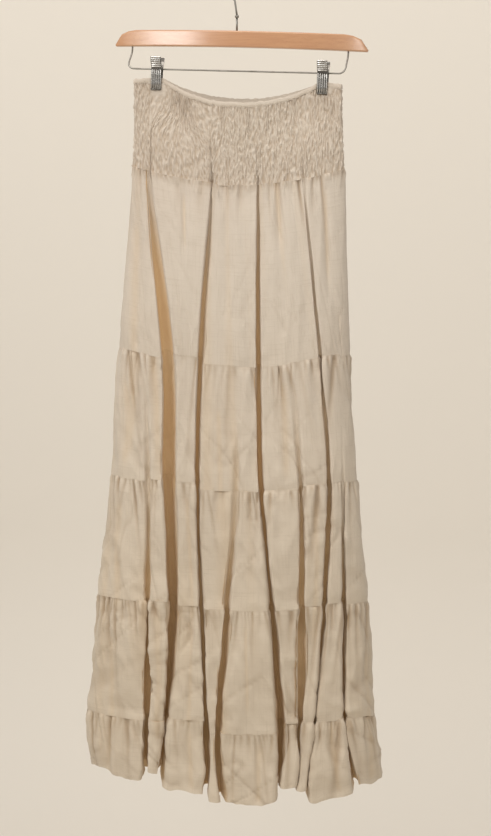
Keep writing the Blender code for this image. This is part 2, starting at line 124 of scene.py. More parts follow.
Level = namedtuple("Level", "name side_z dip ridge core left right lean floor_lift")
LEVELS = [
    Level("waist", WAIST_Z, 33 * MM, 14 * MM, 10 * MM, 154 * MM, 155 * MM, 0.042, 0),
    Level("smocking foot", -290 * MM, 25 * MM, 16 * MM, 9 * MM, 157 * MM, 159 * MM, 0.028, 0),
    Level("seam 1", -560 * MM, 21 * MM, 38 * MM, 10 * MM, 179 * MM, 168 * MM, 0.012, 8 * MM),
    Level("seam 2", -746 * MM, 14 * MM, 52 * MM, 12 * MM, 193 * MM, 179 * MM, 0.004, 8 * MM),
    Level("seam 3", -925 * MM, 8 * MM, 62 * MM, 14 * MM, 214 * MM, 195 * MM, -0.006, 8 * MM),
    Level("seam 4", -1097 * MM, 10 * MM, 70 * MM, 15 * MM, 230 * MM, 206 * MM, -0.010, 10 * MM),
    Level("hem", -1183 * MM, 20 * MM, 76 * MM, 16 * MM, 223 * MM, 219 * MM, -0.008, 18 * MM),
]

# A fold's valley at levels 1 to 6: its place in millimetres across the picture (a share of the
# half width on the back), its open width in millimetres and its share of the full depth.
Valley = namedtuple("Valley", "name across gap share")
FRONT_VALLEYS = [
    Valley("left crease", (-141, -134, -128, -129, -130, -132),
           (2, 3, 3, 3, 4, 10), (0, 0.1, 0.22, 0.3, 0.5, 0.8)),
    Valley("left gap", (-130, -100, -97, -91, -100, -108),
           (4, 18, 20, 13, 8, 7), (0.6, 0.85, 0.85, 0.85, 0.85, 0.9)),
    Valley("left of centre", (-35, -51, -55, -49, -40, -39),
           (3, 7, 5, 5, 4, 5), (0.5, 0.6, 0.55, 0.4, 0.5, 0.6)),
    Valley("centre", (-2, 4, 3, -11, -24, -20),
           (2, 2, 4, 5, 5, 6), (0, 0, 0.15, 0.3, 0.45, 0.5)),
    Valley("right of centre", (32, 34, 39, 54, 68, 65),
           (4, 6, 7, 9, 10, 8), (0.5, 0.6, 0.6, 0.6, 0.8, 0.8)),
    Valley("right pleat", (60, 81, 95, 97, 96, 91),
           (2, 3, 5, 6, 5, 5), (0, 0.05, 0.3, 0.32, 0.38, 0.45)),
    Valley("right gap", (98, 121, 133, 128, 115, 104),
           (3, 4, 5, 7, 4, 4), (0.3, 0.45, 0.55, 0.6, 0.6, 0.6)),
    Valley("right crease", (126, 146, 151, 153, 156, 170),
           (3, 2, 3, 6, 5, 5), (0, 0.05, 0.2, 0.7, 0.8, 0.7)),
]
BACK_VALLEYS = [
    Valley("back 1", (0.80, 0.80, 0.78, 0.76, 0.77, 0.78),
           (2, 4, 5, 6, 7, 8), (0.1, 0.3, 0.5, 0.6, 0.7, 0.7)),
    Valley("back 2", (0.60, 0.57, 0.58, 0.56, 0.54, 0.55),
           (3, 5, 6, 8, 9, 9), (0.4, 0.6, 0.7, 0.8, 0.8, 0.9)),
    Valley("back 3", (0.38, 0.36, 0.33, 0.35, 0.36, 0.34),
           (2, 4, 5, 6, 6, 8), (0.1, 0.2, 0.4, 0.6, 0.7, 0.7)),
    Valley("back 4", (0.14, 0.12, 0.13, 0.11, 0.10, 0.11),
           (3, 6, 9, 11, 12, 11), (0.5, 0.7, 0.8, 0.8, 0.8, 0.9)),
    Valley("back 5", (-0.12, -0.12, -0.10, -0.12, -0.13, -0.12),
           (2, 3, 4, 5, 6, 7), (0, 0.1, 0.3, 0.5, 0.6, 0.7)),
    Valley("back 6", (-0.34, -0.35, -0.36, -0.33, -0.34, -0.35),
           (3, 6, 8, 8, 9, 10), (0.4, 0.6, 0.7, 0.7, 0.8, 0.8)),
    Valley("back 7", (-0.57, -0.55, -0.57, -0.56, -0.57, -0.58),
           (2, 4, 5, 7, 6, 8), (0.2, 0.4, 0.5, 0.7, 0.7, 0.7)),
    Valley("back 8", (-0.79, -0.78, -0.77, -0.78, -0.79, -0.78),
           (2, 4, 5, 7, 8, 8), (0, 0.2, 0.4, 0.6, 0.8, 0.8)),
]
# How far each panel's seams and hem are lifted or let down, in millimetres, at the same levels.
Panel = namedtuple("Panel", "name lift")
FRONT_PANELS = [
    Panel("left side", (0, 6, 4, 5, 4, 10)),
    Panel("left roll", (0, 5, 9, 8, 5, 18)),
    Panel("left of middle", (1, 13, 9, 4, 11, -3)),
    Panel("middle left", (-2, 3, 0, 0, -7, -13)),
    Panel("middle right", (-1, 0, -1, -1, -7, -12)),
    Panel("right of middle", (0, 0, 0, 0, 9, 12)),
    Panel("narrow right", (0, 4, 4, 5, 9, 4)),
    Panel("right", (0, 5, 5, 7, 9, -14)),
    Panel("right side", (0, 0, 2, 2, 9, -3)),
]
BACK_PANELS = [Panel("back", (0, 0, 0, 0, 0, 0))] * (len(BACK_VALLEYS) + 1)

# Points over a lobe between two valleys: the rise, and the place across for shallow and deep ones.
LobePoint = namedtuple("LobePoint", "rise even full")
LOBE = [
    LobePoint(0.00, 0.03, None),
    LobePoint(0.78, 0.18, 0.00),
    LobePoint(0.99, 0.33, 0.07),
    LobePoint(1.00, 0.50, 0.50),
    LobePoint(0.99, 0.67, 0.93),
    LobePoint(0.78, 0.82, 1.00),
    LobePoint(0.00, 0.97, None),
]
print("front folds:", [valley.name for valley in FRONT_VALLEYS])


# %% [markdown]
# Each horizontal section is a closed line of control points, seven to a lobe between two
# valleys. The numbers between two levels come from a smooth curve down each column.

# %% Sections of the tube
def smooth(values, at):
    """A smooth value between the numbers of a column, read at a fraction of the way down it."""
    last = len(values) - 1
    i = min(int(at), last - 1)
    t = at - i
    before, start = values[max(i - 1, 0)], values[i]
    end, after = values[i + 1], values[min(i + 2, last)]
    slope_in, slope_out = (end - before) / 2, (after - start) / 2
    return (
        (2 * t**3 - 3 * t**2 + 1) * start
        + (t**3 - 2 * t**2 + t) * slope_in
        + (3 * t**2 - 2 * t**3) * end
        + (t**3 - t**2) * slope_out
    )


def column(name, level):
    return smooth([getattr(row, name) for row in LEVELS], level)


def fold_level(level):
    """Folds open fast under the smocking, so their level runs ahead of the cloth's there."""
    return 2 - (2 - level) ** FOLD_HASTE if 1 < level < 2 else level


def ease(t):
    t = np.clip(t, 0.0, 1.0)
    return t * t * (3 - 2 * t)


def clip_side(x):
    return RIGHT_CLIP_X if x > 0 else LEFT_CLIP_X


def pinched_depth(x, side):
    """The half depth at the top edge, where the clips press both layers together."""
    clip_x = abs(clip_side(x))
    from_clip = abs(abs(x) - clip_x) - PINCH_HALF_WIDTH
    if from_clip <= 0:
        return PINCH
    inside = abs(x) < clip_x
    room = (clip_x if inside else side - clip_x) - PINCH_HALF_WIDTH
    bulge = WAIST_BULGE if inside else WAIST_BULGE * OUTER_BULGE_SHARE
    return PINCH + bulge * math.sin(math.pi / 2 * min(from_clip / room, 1.0)) ** 2


def half_depth(x, level):
    """How far the ridges stand from the middle plane at a place across the cloth."""
    side = column("right", level) if x > 0 else column("left", level)
    share = min(abs(x) / side, 1.0)
    open_depth = column("ridge", fold_level(level)) * (1 - share**3) ** 0.5
    opened = ease((level - PINCH_FOOT) * PINCH_OPENING)
    return pinched_depth(x, side) * (1 - opened) + open_depth * opened


def place(valley, level, front):
    """A valley's place along X, its open width and its share of the full depth at a level."""
    row = max(level - 1, 0.0)
    fold_row = max(fold_level(level) - 1, 0.0)
    across = smooth(valley.across, row)
    gap = max(smooth(valley.gap, fold_row), 2.0) * MM
    share = min(max(smooth(valley.share, fold_row), 0.0), 1.0) * ease(level)
    if front:
        ridge = FRONT_DEPTH_SHARE * column("ridge", fold_level(level))
        x = (across * MM + ridge * math.sin(VIEW_TURN)) / math.cos(VIEW_TURN)
    else:
        x = across * (column("right", level) if across > 0 else column("left", level))
    return x, gap, share


def lift(panel, level):
    return smooth(panel.lift, max(level - 1, 0.0)) * MM * min(level, 1.0)


def lobe_points(start, end, lifts, level):
    """Seven points over one lobe, between two valleys given as (x, gap, share)."""
    way = 1 if end[0] > start[0] else -1
    reach = [start[0] + way * (start[1] + WALL) / 2, end[0] - way * (end[1] + WALL) / 2]
    core = column("core", level)
    points = []
    for i, point in enumerate(LOBE):
        near = start if i < len(LOBE) / 2 else end
        even = start[0] + (end[0] - start[0]) * point.even
        if point.full is None:
            full = near[0] + (way if near is start else -way) * (FLOOR_SHARE * near[1] + FLOOR_ROOM)
        else:
            full = reach[0] + (reach[1] - reach[0]) * point.full
        x = even + (full - even) * ease(near[2] / FULL_LOBE_SHARE)
        depth = half_depth(x, level)
        sunk = max(half_depth(near[0], level) - core, 0.0) * near[2] * (1 - point.rise)
        kept = max(depth - sunk, min(depth, core))
        floor = (lifts[1] + lifts[0 if near is start else 2]) / 2
        floor += column("floor_lift", level) * near[2]
        higher = floor + (lifts[1] - floor) * point.rise
        depth_in = depth - kept
        lean = way * VALLEY_LEAN * depth_in
        points.append((x - lean, -way * kept, higher, depth_in / LEVELS[-1].ridge))
    return points


def section(level):
    """Control points of the section at a level: x, y, lift and how deep in a fold each lies."""
    left, right = -column("left", level), column("right", level)
    side_gap = 0.6 * MM
    front = [place(v, level, True) for v in FRONT_VALLEYS]
    back = [place(v, level, False) for v in BACK_VALLEYS]
    points = []
    left_side, right_side = (left, side_gap, 0), (right, side_gap, 0)
    lifts = [lift(panel, level) for panel in FRONT_PANELS + BACK_PANELS]
    around = [left_side, *front, right_side, *back, left_side]
    for i, (start, end) in enumerate(zip(around, around[1:])):
        own = (lifts[i - 1], lifts[i], lifts[(i + 1) % len(lifts)])
        points += lobe_points(start, end, own, level)
    return np.array(points)


print("control points to a section:", len(section(3.0)))


# %% [markdown]
# A cubic spline rounds the control points, as cloth does. It blurs them a little, so that the
# folds' edges stay crisp without overshooting. Every piece shares out its columns by length, so
# they lie about a millimetre apart and still follow the folds down.

# %% Smooth rings
COLUMNS = 1260
BLUR, SHARP = 0.4, 0.3


def spline_weight(far):
    """The share that a control point has at a place this many points away from it."""
    near = (12 - 9 * BLUR - 6 * SHARP) * far**3 + (-18 + 12 * BLUR + 6 * SHARP) * far**2 + 6 - 2 * BLUR
    wide = (-BLUR - 6 * SHARP) * far**3 + (6 * BLUR + 30 * SHARP) * far**2
    wide += (-12 * BLUR - 48 * SHARP) * far + 8 * BLUR + 24 * SHARP
    return np.where(far < 1, near, wide) / 6


def spline(points, at):
    """A closed smooth line near the rows of an array, read at places counted in points."""
    first = np.floor(at).astype(int)
    total = 0
    for shift in (-1, 0, 1, 2):
        weight = spline_weight(np.abs(at - first - shift))[:, None]
        total = total + weight * points[(first + shift) % len(points)]
    return total


def share_out(rings):
    """Places of the columns, in control points, that lie evenly over the mean of some rings."""
    along = [np.roll(ring[:, :2], -1, axis=0) - ring[:, :2] for ring in rings]
    steps = np.mean([np.hypot(*step.T) for step in along], axis=0)
    length = np.concatenate([[0], np.cumsum(steps)])
    return np.interp(np.arange(COLUMNS) / COLUMNS * length[-1], length, np.arange(len(length)))


FRONT_TO_BACK = 6 * MM


def waist_height(x, y):
    """The top edge sags between the clips, more in front than behind."""
    inner = np.where(x > 0, RIGHT_CLIP_X, -LEFT_CLIP_X) - PINCH_HALF_WIDTH / 2
    dip = LEVELS[0].dip - BACK_RISE * ease(y / FRONT_TO_BACK + 0.5)
    sag = dip * (1 - np.minimum(np.abs(x) / inner, 1) ** SAG_CURVE)
    outside = np.maximum((np.abs(x) - inner) / (LEVELS[0].right - inner), 0)
    return WAIST_Z - sag - CORNER_DROP * outside**2


def height(x, y, level):
    lean = x * column("lean", level)
    if level >= 1:
        side = np.where(x > 0, column("right", level), column("left", level))
        sag = column("dip", level) * (1 - np.minimum(np.abs(x) / side, 1) ** 2)
        return column("side_z", level) - sag - lean
    smocked = LEVELS[1]
    foot = smocked.side_z - smocked.dip * (1 - np.minimum(np.abs(x) / smocked.left, 1) ** 2)
    return waist_height(x, y) * (1 - level) + foot * level - lean


class Cloth:
    """Rows of a piece of the tube: places, outward normals, lengths round and fold depth."""

    def __init__(self, levels, drops):
        rings = [section(level) for level in levels]
        at = share_out(rings)
        rings = [spline(ring, at) for ring in rings]
        self.x = np.array([ring[:, 0] for ring in rings])
        self.y = np.array([ring[:, 1] for ring in rings])
        self.fold = np.array([ring[:, 3] for ring in rings])
        lifts = [ring[:, 2] - drop for ring, drop in zip(rings, drops)]
        self.z = np.array([height(*row) for row in zip(self.x, self.y, levels)]) + lifts
        inside = self.fold * LEVELS[-1].ridge
        self.y += np.sign(self.y) * inside * (1 - ease(inside / CRISP_EDGE))
        ahead_x, ahead_y = np.roll(self.x, -1, axis=1), np.roll(self.y, -1, axis=1)
        way_x, way_y = ahead_x - np.roll(self.x, 1, axis=1), ahead_y - np.roll(self.y, 1, axis=1)
        length = np.hypot(way_x, way_y) + 1e-9
        self.nx, self.ny = way_y / length, -way_x / length
        steps = np.hypot(ahead_x - self.x, ahead_y - self.y)
        self.round = steps.sum(axis=1)
        self.along = np.cumsum(steps, axis=1) - steps
        self.level = np.repeat(np.array(levels)[:, None], COLUMNS, axis=1)
        self.below_top = self.z[0][None, :] - self.z
        self.picture = self.x * math.cos(VIEW_TURN) + self.y * math.sin(VIEW_TURN)
        self.share = (self.along / self.round[:, None]).mean(axis=0)
        self.out = np.zeros_like(self.x)
        self.crease = np.zeros_like(self.x)


def tier_cloth(number, rows):
    levels = number + np.linspace(0, 1, rows)
    return Cloth(levels, SEAM_GAP * (1 - np.linspace(0, 1, rows)))


def yoke_cloth(rows):
    levels = np.linspace(0, 1, rows)
    return Cloth(levels, (EDGE_HEIGHT + SEAM_GAP) * (1 - levels))


def edge_cloth(rows):
    return Cloth([0.0] * rows, np.linspace(0, EDGE_HEIGHT, rows))


ROWS = (46, 40, 40, 40, 26)
cloths = {"waist_edge": edge_cloth(5), "smocked_yoke": yoke_cloth(61)}
tiers = [tier_cloth(number, rows) for number, rows in enumerate(ROWS, 1)]
cloths.update({f"tier_{number}": tier for number, tier in enumerate(tiers, 1)})
for name, cloth in cloths.items():
    print(name, "length round in mm:", (cloth.round[[0, -1]] / MM).round())


# %% [markdown]
# Crumpled linen has soft dents of many sizes. Noise on a lattice that closes round the tube
# gives them, and folding the noise about zero makes the sharper creases. Thin pressed lines
# follow the places where another noise is zero. The bottoms of the folds stay calmer, and so
# do their sides, which face sideways.

# %% Crumples
def lattice(seed, around, down, u, v):
    """Smooth noise from -1 to 1. It repeats once u has gone from 0 to 1."""
    chance = np.random.default_rng(seed)
    grid = chance.uniform(-1, 1, (down + 3, around))
    i, j = np.floor(u * around).astype(int), np.floor(v).astype(int)
    a, b = ease(u * around - i), ease(v - j)
    i0, i1 = i % around, (i + 1) % around
    j0, j1 = j % (down + 3), (j + 1) % (down + 3)
    top = grid[j0, i0] * (1 - a) + grid[j0, i1] * a
    low = grid[j1, i0] * (1 - a) + grid[j1, i1] * a
    return top * (1 - b) + low * b


def crumple(cloth, seed, wide, tall, lean=0.0):
    """Dents about wide by tall, in metres. They lean sideways as they go down."""
    around = max(int(1.5 / wide), 8)
    u = cloth.share[None, :] + lean * (cloth.z / 1.5)
    return lattice(seed, around, 400, u % 1.0, -cloth.z / tall)


Crumple = namedtuple("Crumple", "wide tall depth crease lean")
CRUMPLES = [
    Crumple(70 * MM, 190 * MM, 2.6 * MM, False, 0.0),
    Crumple(34 * MM, 120 * MM, 1.8 * MM, False, 0.15),
    Crumple(30 * MM, 80 * MM, 1.4 * MM, True, -0.25),
    Crumple(16 * MM, 34 * MM, 1.0 * MM, True, 0.4),
    Crumple(9 * MM, 12 * MM, 0.4 * MM, False, 0.0),
]
# Each line lies where its noise is nearly zero, and shows only where a broader noise is high.
LINES = [
    Crumple(44 * MM, 90 * MM, 1.5 * MM, True, 0.9),
    Crumple(38 * MM, 70 * MM, 1.3 * MM, True, -1.1),
    Crumple(26 * MM, 110 * MM, 1.2 * MM, True, 0.2),
]
PATCH_WIDE, PATCH_TALL = 90 * MM, 120 * MM
LINE_WIDTH = 0.08
# Pressed lines also get this much painted shade.
LINE_SHADE = 0.22
# Long soft ripples hang from seam to seam. Their troughs get a painted shade and a painted glow, for
# the light that comes through them.
RIPPLE = Crumple(26 * MM, 320 * MM, 1.8 * MM, False, 0.05)
RIPPLE_SHADE = 0.12
SEAM_CALM = 14 * MM
SEAM_SHARE = 0.3
SHARPNESS = 2.2
# Crumples are shallow on the first tier and gain depth over these levels. Folds halve them.
TOP_SHARE, LOWER_GAIN, GAIN_LEVELS = 0.4, 0.9, 3.5
FOLD_LOSS = 0.5
# Cloth that faces sideways loses a share of them, less so in the lower tiers.
SIDE_LOSS, SIDE_GAIN = 0.65, 0.4
for cloth in tiers:
    by_level = TOP_SHARE + LOWER_GAIN * ease((cloth.level - 1) / GAIN_LEVELS)
    calm = by_level * (1 - FOLD_LOSS * np.clip(cloth.fold, 0, 1))
    sideways = SIDE_LOSS - SIDE_GAIN * ease((cloth.level - 3) / 2)
    facing = 1 - sideways * (1 - np.abs(cloth.ny))
    for seed, dent in enumerate(CRUMPLES, 20):
        noise = crumple(cloth, seed, dent.wide, dent.tall, dent.lean)
        if dent.crease:
            noise = 1 - SHARPNESS * np.abs(noise)
        cloth.out += dent.depth * noise * calm * facing
    ripple = crumple(cloth, 60, RIPPLE.wide, RIPPLE.tall, RIPPLE.lean)
    cloth.out += RIPPLE.depth * ripple * facing
    # Ripple troughs add to the fold value: painted shade and painted glow.
    cloth.fold = cloth.fold + RIPPLE_SHADE * np.clip(-ripple, 0, 1)
    if cloth is not tiers[0]:
        cloth.out *= SEAM_SHARE + (1 - SEAM_SHARE) * ease(cloth.below_top / SEAM_CALM)
    for seed, line in enumerate(LINES, 40):
        from_line = crumple(cloth, seed, line.wide, line.tall, line.lean) / LINE_WIDTH
        patches = crumple(cloth, seed + 10, PATCH_WIDE, PATCH_TALL)
        pressed = np.exp(-(from_line**2)) * ease(0.5 + 1.5 * patches)
        cloth.out -= line.depth * pressed * calm
        # Painted shade darkens the pressed lines.
        cloth.crease += LINE_SHADE * pressed * calm
print("deepest crumple of tier 4 in mm:", round(float(tiers[3].out.min() / MM), 1))


# %% [markdown]
# Under each seam the cloth is gathered. Its puckers are narrow grooves between broader soft
# ridges. Each has its own place, depth, length and slant, drawn from a seeded table.

# %% Gathers
Gather = namedtuple("Gather", "spacing width rise shortest longest drift")
GROOVES = Gather(8.0 * MM, 1.6 * MM, -3.6 * MM, 8 * MM, 46 * MM, 0.18)
LONG_GROOVES = Gather(27 * MM, 1.9 * MM, -4.0 * MM, 40 * MM, 110 * MM, 0.15)
RIDGES = Gather(17 * MM, 4.6 * MM, 3.8 * MM, 25 * MM, 110 * MM, 0.14)
TOP_FOLDS = Gather(20 * MM, 3.6 * MM, 2.6 * MM, 30 * MM, 90 * MM, 0.05)
TOP_GROOVES = Gather(22 * MM, 1.7 * MM, -3.4 * MM, 14 * MM, 70 * MM, 0.06)
# Gathers are stronger at the sides than in the middle: places across the picture in millimetres.
GATHER_PLACES = (-230, -135, -95, -40, 40, 70, 200)
GATHER_STRENGTH = (1.0, 1.0, 0.55, 0.5, 0.7, 1.0, 1.0)
# Grooves get this much painted shade.
GATHER_SHADE = 1.4
START = 1.5 * MM
# A gather's own values are drawn about those of its kind.
WANDER = 0.45
RISE_SHARE, WIDTH_SHARE = (0.25, 1.0), (0.7, 1.4)
SPREAD, FADE_POWER = 0.7, 1.6


def gather(cloth, seed, kind):
    """Adds grooves or ridges that start at the top of a piece and fade out below it."""
    chance = np.random.default_rng(seed)
    total = cloth.round[0]
    count = int(total / kind.spacing)
    strength = np.interp(cloth.picture[0] / MM, GATHER_PLACES, GATHER_STRENGTH)
    for n in range(count):
        at = (n + chance.uniform(-WANDER, WANDER)) / count
        rise = kind.rise * chance.uniform(*RISE_SHARE)
        length = chance.uniform(kind.shortest, kind.longest)
        slope = chance.uniform(-kind.drift, kind.drift)
        wide = kind.width * chance.uniform(*WIDTH_SHARE)
        far = ((cloth.share - at + 0.5) % 1.0 - 0.5) * total
        near = np.abs(far) < 4 * wide + abs(slope) * length * 2
        below = cloth.below_top[:, near]
        spread = wide * (1 + SPREAD * below / length)
        fade = (1 - np.exp(-below / START)) * np.exp(-((below / length) ** FADE_POWER))
        shape = strength[near] * fade * np.exp(-(((far[near] - slope * below) / spread) ** 2))
        cloth.out[:, near] += rise * shape
        # A groove is darkened with painted shade.
        if rise < 0:
            cloth.crease[:, near] += GATHER_SHADE * shape * rise / GROOVES.rise
    return count


UNDER_SEAM = (GROOVES, LONG_GROOVES, RIDGES)
for number, cloth in enumerate(tiers[1:], 2):
    counts = [gather(cloth, 100 * n + number, kind) for n, kind in enumerate(UNDER_SEAM)]
    print(f"grooves, long grooves and ridges of tier {number}:", counts)
counts = [gather(tiers[0], seed, kind) for seed, kind in enumerate((TOP_FOLDS, TOP_GROOVES), 77)]
print("soft folds and grooves under the smocking:", counts)


# %% [markdown]
# The smocking is drawn up on rows of elastic thread. The cloth puffs out between two rows in
# small upright crinkles, each with its own place, height and slant, so no row can be seen as a
# line. They run out unevenly over the top of the first tier.

# %% Smocking
Crinkle = namedtuple("Crinkle", "across bands width rise wander")
CRINKLES = [
    Crinkle(320, 20, 0.8 * MM, 1.9 * MM, 0.45),
    Crinkle(130, 12, 1.5 * MM, 1.2 * MM, 0.45),
]
# Ranges that a crinkle's values are drawn from. Heights are shares of the yoke's or a band's.
LOWEST = (-0.07, 0.16)
HALF_HEIGHT = (0.5, 1.25)
SLANT = 0.0012
HEIGHT_SHARE = (0.3, 1.0)
YOKE_HEIGHT = LEVELS[0].side_z - LEVELS[1].side_z
YOKE_SINK = 1.2 * MM
CREASE_TOP = 1.9 * MM
PLATE_ROOM = 8.5 * MM
HOLD_REACH = 5 * MM


def free_of_clips(cloth):
    """0 under a clip, which presses the cloth flat, and 1 away from it."""
    clear = np.minimum(np.abs(cloth.x - LEFT_CLIP_X), np.abs(cloth.x - RIGHT_CLIP_X)) - PLATE_ROOM
    return ease(np.maximum(clear, CLIP_BOTTOM - 1 * MM - cloth.z) / HOLD_REACH)


def crinkles(cloth, row_down):
    """The relief of all crinkles on a piece. Its rows lie at shares of the yoke's height."""
    chance = np.random.default_rng(5)
    relief = np.zeros_like(cloth.x)
    for kind in CRINKLES:
        for n in range(kind.across):
            foot = 1 + chance.uniform(*LOWEST)
            phase = chance.uniform(0, 1)
            for band in range(-1, kind.bands + 3):
                middle = (band + phase + chance.uniform(-kind.wander, kind.wander)) / kind.bands
                half = chance.uniform(*HALF_HEIGHT) / kind.bands
                at = (n + chance.uniform(-kind.wander, kind.wander)) / kind.across
                slant = chance.uniform(-SLANT, SLANT)
                rise = chance.uniform(*HEIGHT_SHARE) * kind.rise
                rows = np.abs(row_down - middle) < half
                if middle > foot or not rows.any():
                    continue
                down = (row_down[rows, None] - middle) / half
                far = (cloth.share[None, :] - at - slant * down + 0.5) % 1.0 - 0.5
                bump = np.exp(-((far * cloth.round[rows][:, None] / kind.width) ** 2))
                relief[rows] += rise * bump * np.cos(down * np.pi / 2) ** 2
    return relief


yoke = cloths["smocked_yoke"]
for cloth in (yoke, tiers[0]):
    below_yoke = 1 + cloth.below_top.mean(axis=1) / YOKE_HEIGHT
    row_down = yoke.level[:, 0] if cloth is yoke else below_yoke
    relief, free = crinkles(cloth, row_down), free_of_clips(cloth)
    cloth.out += (relief - YOKE_SINK * (row_down < 1)[:, None]) * free
    # Painted shade darkens the cloth between the crinkles.
    smocked = ease((1.1 - row_down) / 0.1)[:, None] * free
    between = np.clip(1.0 - relief / CREASE_TOP, 0, 1) ** 1.2
    cloth.crease = np.maximum(cloth.crease, 0.95 * smocked * between)
print("crinkles in the smocking:", sum(kind.across * kind.bands for kind in CRINKLES))


# %% [markdown]
# The creases that the eye remembers are listed one by one: soft troughs, and ridges where
# the depth is negative. Places are in millimetres across the picture, down the listed levels, and
# depth and width are in millimetres too. The true or false says if a crease is on the front.

# %% Creases listed one by one
Crease = namedtuple("Crease", "name front levels across depth width")
CREASES = [
    Crease("short line left of the middle", True, (1.0, 1.5), (-79, -76), 3.2, 3.5),
    Crease("short line right of the middle", True, (1.0, 1.45), (58, 62), 3.0, 3.5),
    Crease("short line on the right", True, (1.0, 1.7), (126, 133), 3.0, 4),
    Crease("short line in the middle", True, (1.0, 1.2), (6, 4), 2.4, 4),
    Crease("left panel roll", True, (1.2, 2.0, 2.9), (-148, -152, -160), 2.0, 9),
    Crease("left panel dent", True, (2.1, 2.5, 3.0), (-165, -160, -166), 2.4, 7),
    Crease("left lower dent", True, (3.1, 3.6, 4.2), (-172, -180, -176), 2.6, 8),
    Crease("left roll", True, (3.9, 4.5, 5.3), (-118, -114, -118), -5.0, 8),
    Crease("twist over the left roll", True, (3.9, 4.4), (-130, -103), 4.0, 4),
    Crease("tuck beside the left roll", True, (4.0, 4.25, 4.45), (-84, -67, -88), 3.5, 4),
    Crease("left hem dent", True, (4.2, 5.0, 6.0), (-190, -186, -196), 3.4, 7),
    Crease("middle panel dent", True, (2.2, 3.0, 3.4), (-28, -24, -30), 2.4, 7),
    Crease("thin middle line", True, (4.0, 4.9), (12, 15), 1.8, 4),
    Crease("middle hem dent", True, (5.0, 6.0), (32, 30), 3.4, 6),
    Crease("left of middle dent", True, (3.0, 4.0, 5.2), (-74, -66, -72), 2.6, 5),
    Crease("left of middle hem dent", True, (5.0, 6.0), (-72, -66), 3.0, 6),
    Crease("right of middle dent", True, (4.0, 4.6, 5.0), (92, 86, 90), 2.4, 5),
    Crease("right hem dent", True, (4.9, 6.0), (134, 150), 4.0, 6),
    Crease("right panel dent", True, (2.0, 2.5, 3.0), (66, 70, 72), 1.8, 8),
    Crease("right lower dent", True, (3.0, 3.6, 4.4), (112, 116, 110), 2.2, 6),
    Crease("right edge roll", True, (4.3, 5.0, 6.0), (190, 193, 200), 3.4, 7),
    Crease("back left dent", False, (2.0, 3.0, 4.6), (-95, -104, -116), 2.6, 9),
    Crease("back middle dent", False, (2.4, 3.4, 6.0), (22, 16, 24), 2.4, 8),
    Crease("back right dent", False, (1.2, 2.0, 4.0), (92, 98, 118), 2.6, 9),
]
# Troughs add this much to the fold value, for painted shade and painted glow in them.
TROUGH_SHADE = 0.1
for crease in CREASES:
    for cloth in tiers:
        path = np.interp(cloth.level, crease.levels, crease.across) * MM
        fade = ease((cloth.level - crease.levels[0]) * 5)
        fade = fade * ease((crease.levels[-1] - cloth.level) * 4 + 0.2)
        fade = fade * (cloth.y < 0 if crease.front else cloth.y > 0)
        trough = fade * np.exp(-(((cloth.picture - path) / (crease.width * MM)) ** 2))
        cloth.out -= crease.depth * MM * trough
        cloth.fold = np.maximum(cloth.fold, TROUGH_SHADE * trough)
print("creases placed by hand:", len(CREASES))

# %% [markdown]
# At a seam the upper piece laps a little over the lower one. The hem and the waist edge are
# turned and stitched, so they are thicker.

# %% Seams
SEAM_LAP = 1.5 * MM
SEAM_STEP = 0.15 * MM
SEAM_TUCK = 0.5 * MM
# The seam line gets this much painted shade.
SEAM_SHADE = 0.4
STEP_REACH = 3 * MM
SEAM_LINE = 1.3 * MM
FOOT_REACH = 12 * MM
for cloth in [yoke] + tiers[:-1]:
    above_foot = cloth.z - cloth.z[-1][None, :]
    if cloth is not yoke:
        cloth.out *= SEAM_SHARE + (1 - SEAM_SHARE) * ease(above_foot / FOOT_REACH)
    cloth.out += SEAM_STEP * np.exp(-((above_foot / STEP_REACH) ** 2))
    cloth.out[-1] -= SEAM_TUCK
    cloth.z[-1] -= SEAM_LAP
for cloth in tiers[1:]:
    cloth.out -= SEAM_STEP * np.exp(-((cloth.below_top / STEP_REACH) ** 2))
    cloth.crease += SEAM_SHADE * np.exp(-((cloth.below_top / SEAM_LINE) ** 2))
print("overlap at a seam in mm:", round(SEAM_LAP / MM, 1))

# %% Hem and waist edge
HEM_REACH = 60 * MM
HEM_TURNING = 6 * MM
HEM_THICKER = 0.5 * MM
HEM_WAVES = ((81, 26 * MM, 60 * MM, 5.0 * MM), (82, 11 * MM, 30 * MM, 2.4 * MM))
HEM_DROPS = ((83, 40 * MM, 6.0 * MM), (84, 15 * MM, 3.0 * MM), (85, 6 * MM, 1.2 * MM))
hem, edge = tiers[-1], cloths["waist_edge"]
above_hem = hem.z - hem.z[-1][None, :]
low = ease(1 - above_hem / HEM_REACH)
hem.out += low * sum(depth * crumple(hem, seed, wide, tall) for seed, wide, tall, depth in HEM_WAVES)
for seed, wide, rise in HEM_DROPS:
    hem.z += low * rise * crumple(hem, seed, wide, 900 * MM)
hem.out += HEM_THICKER * ease(1 - (above_hem - HEM_TURNING) / (2 * MM))
EDGE_ROLL = 0.9 * MM
EDGE_ROOM = 11 * MM
from_clip = np.minimum(np.abs(edge.x - LEFT_CLIP_X), np.abs(edge.x - RIGHT_CLIP_X)) - EDGE_ROOM
rolled = np.sin(np.pi * np.clip(edge.below_top / EDGE_HEIGHT, 0.1, 0.9))
edge.out += EDGE_ROLL * rolled * ease(from_clip / HOLD_REACH)
edge.z += EDGE_ROLL * crumple(edge, 71, 8 * MM, 40 * MM)
print("hem thickness added in mm:", round(HEM_THICKER / MM, 1))


# %% [markdown]
# Each shell is a closed wall: the outer rows, the inner rows, and a strip over both edges. The
# inner wall is hardly seen, so it has fewer rows. It keeps under the lowest outer row near it.

# %% Build the shells
SHELL = 1.1 * MM
ROWS_TO_ONE_INNER = 4
RIM_ANGLE = 65
THINNEST = 0.6 * MM
# The inner walls get this much extra fold value, for painted shade and painted glow on the inside.
INSIDE_SHADE_SMOCKING, INSIDE_SHADE_TIERS = 0.05, 0.25


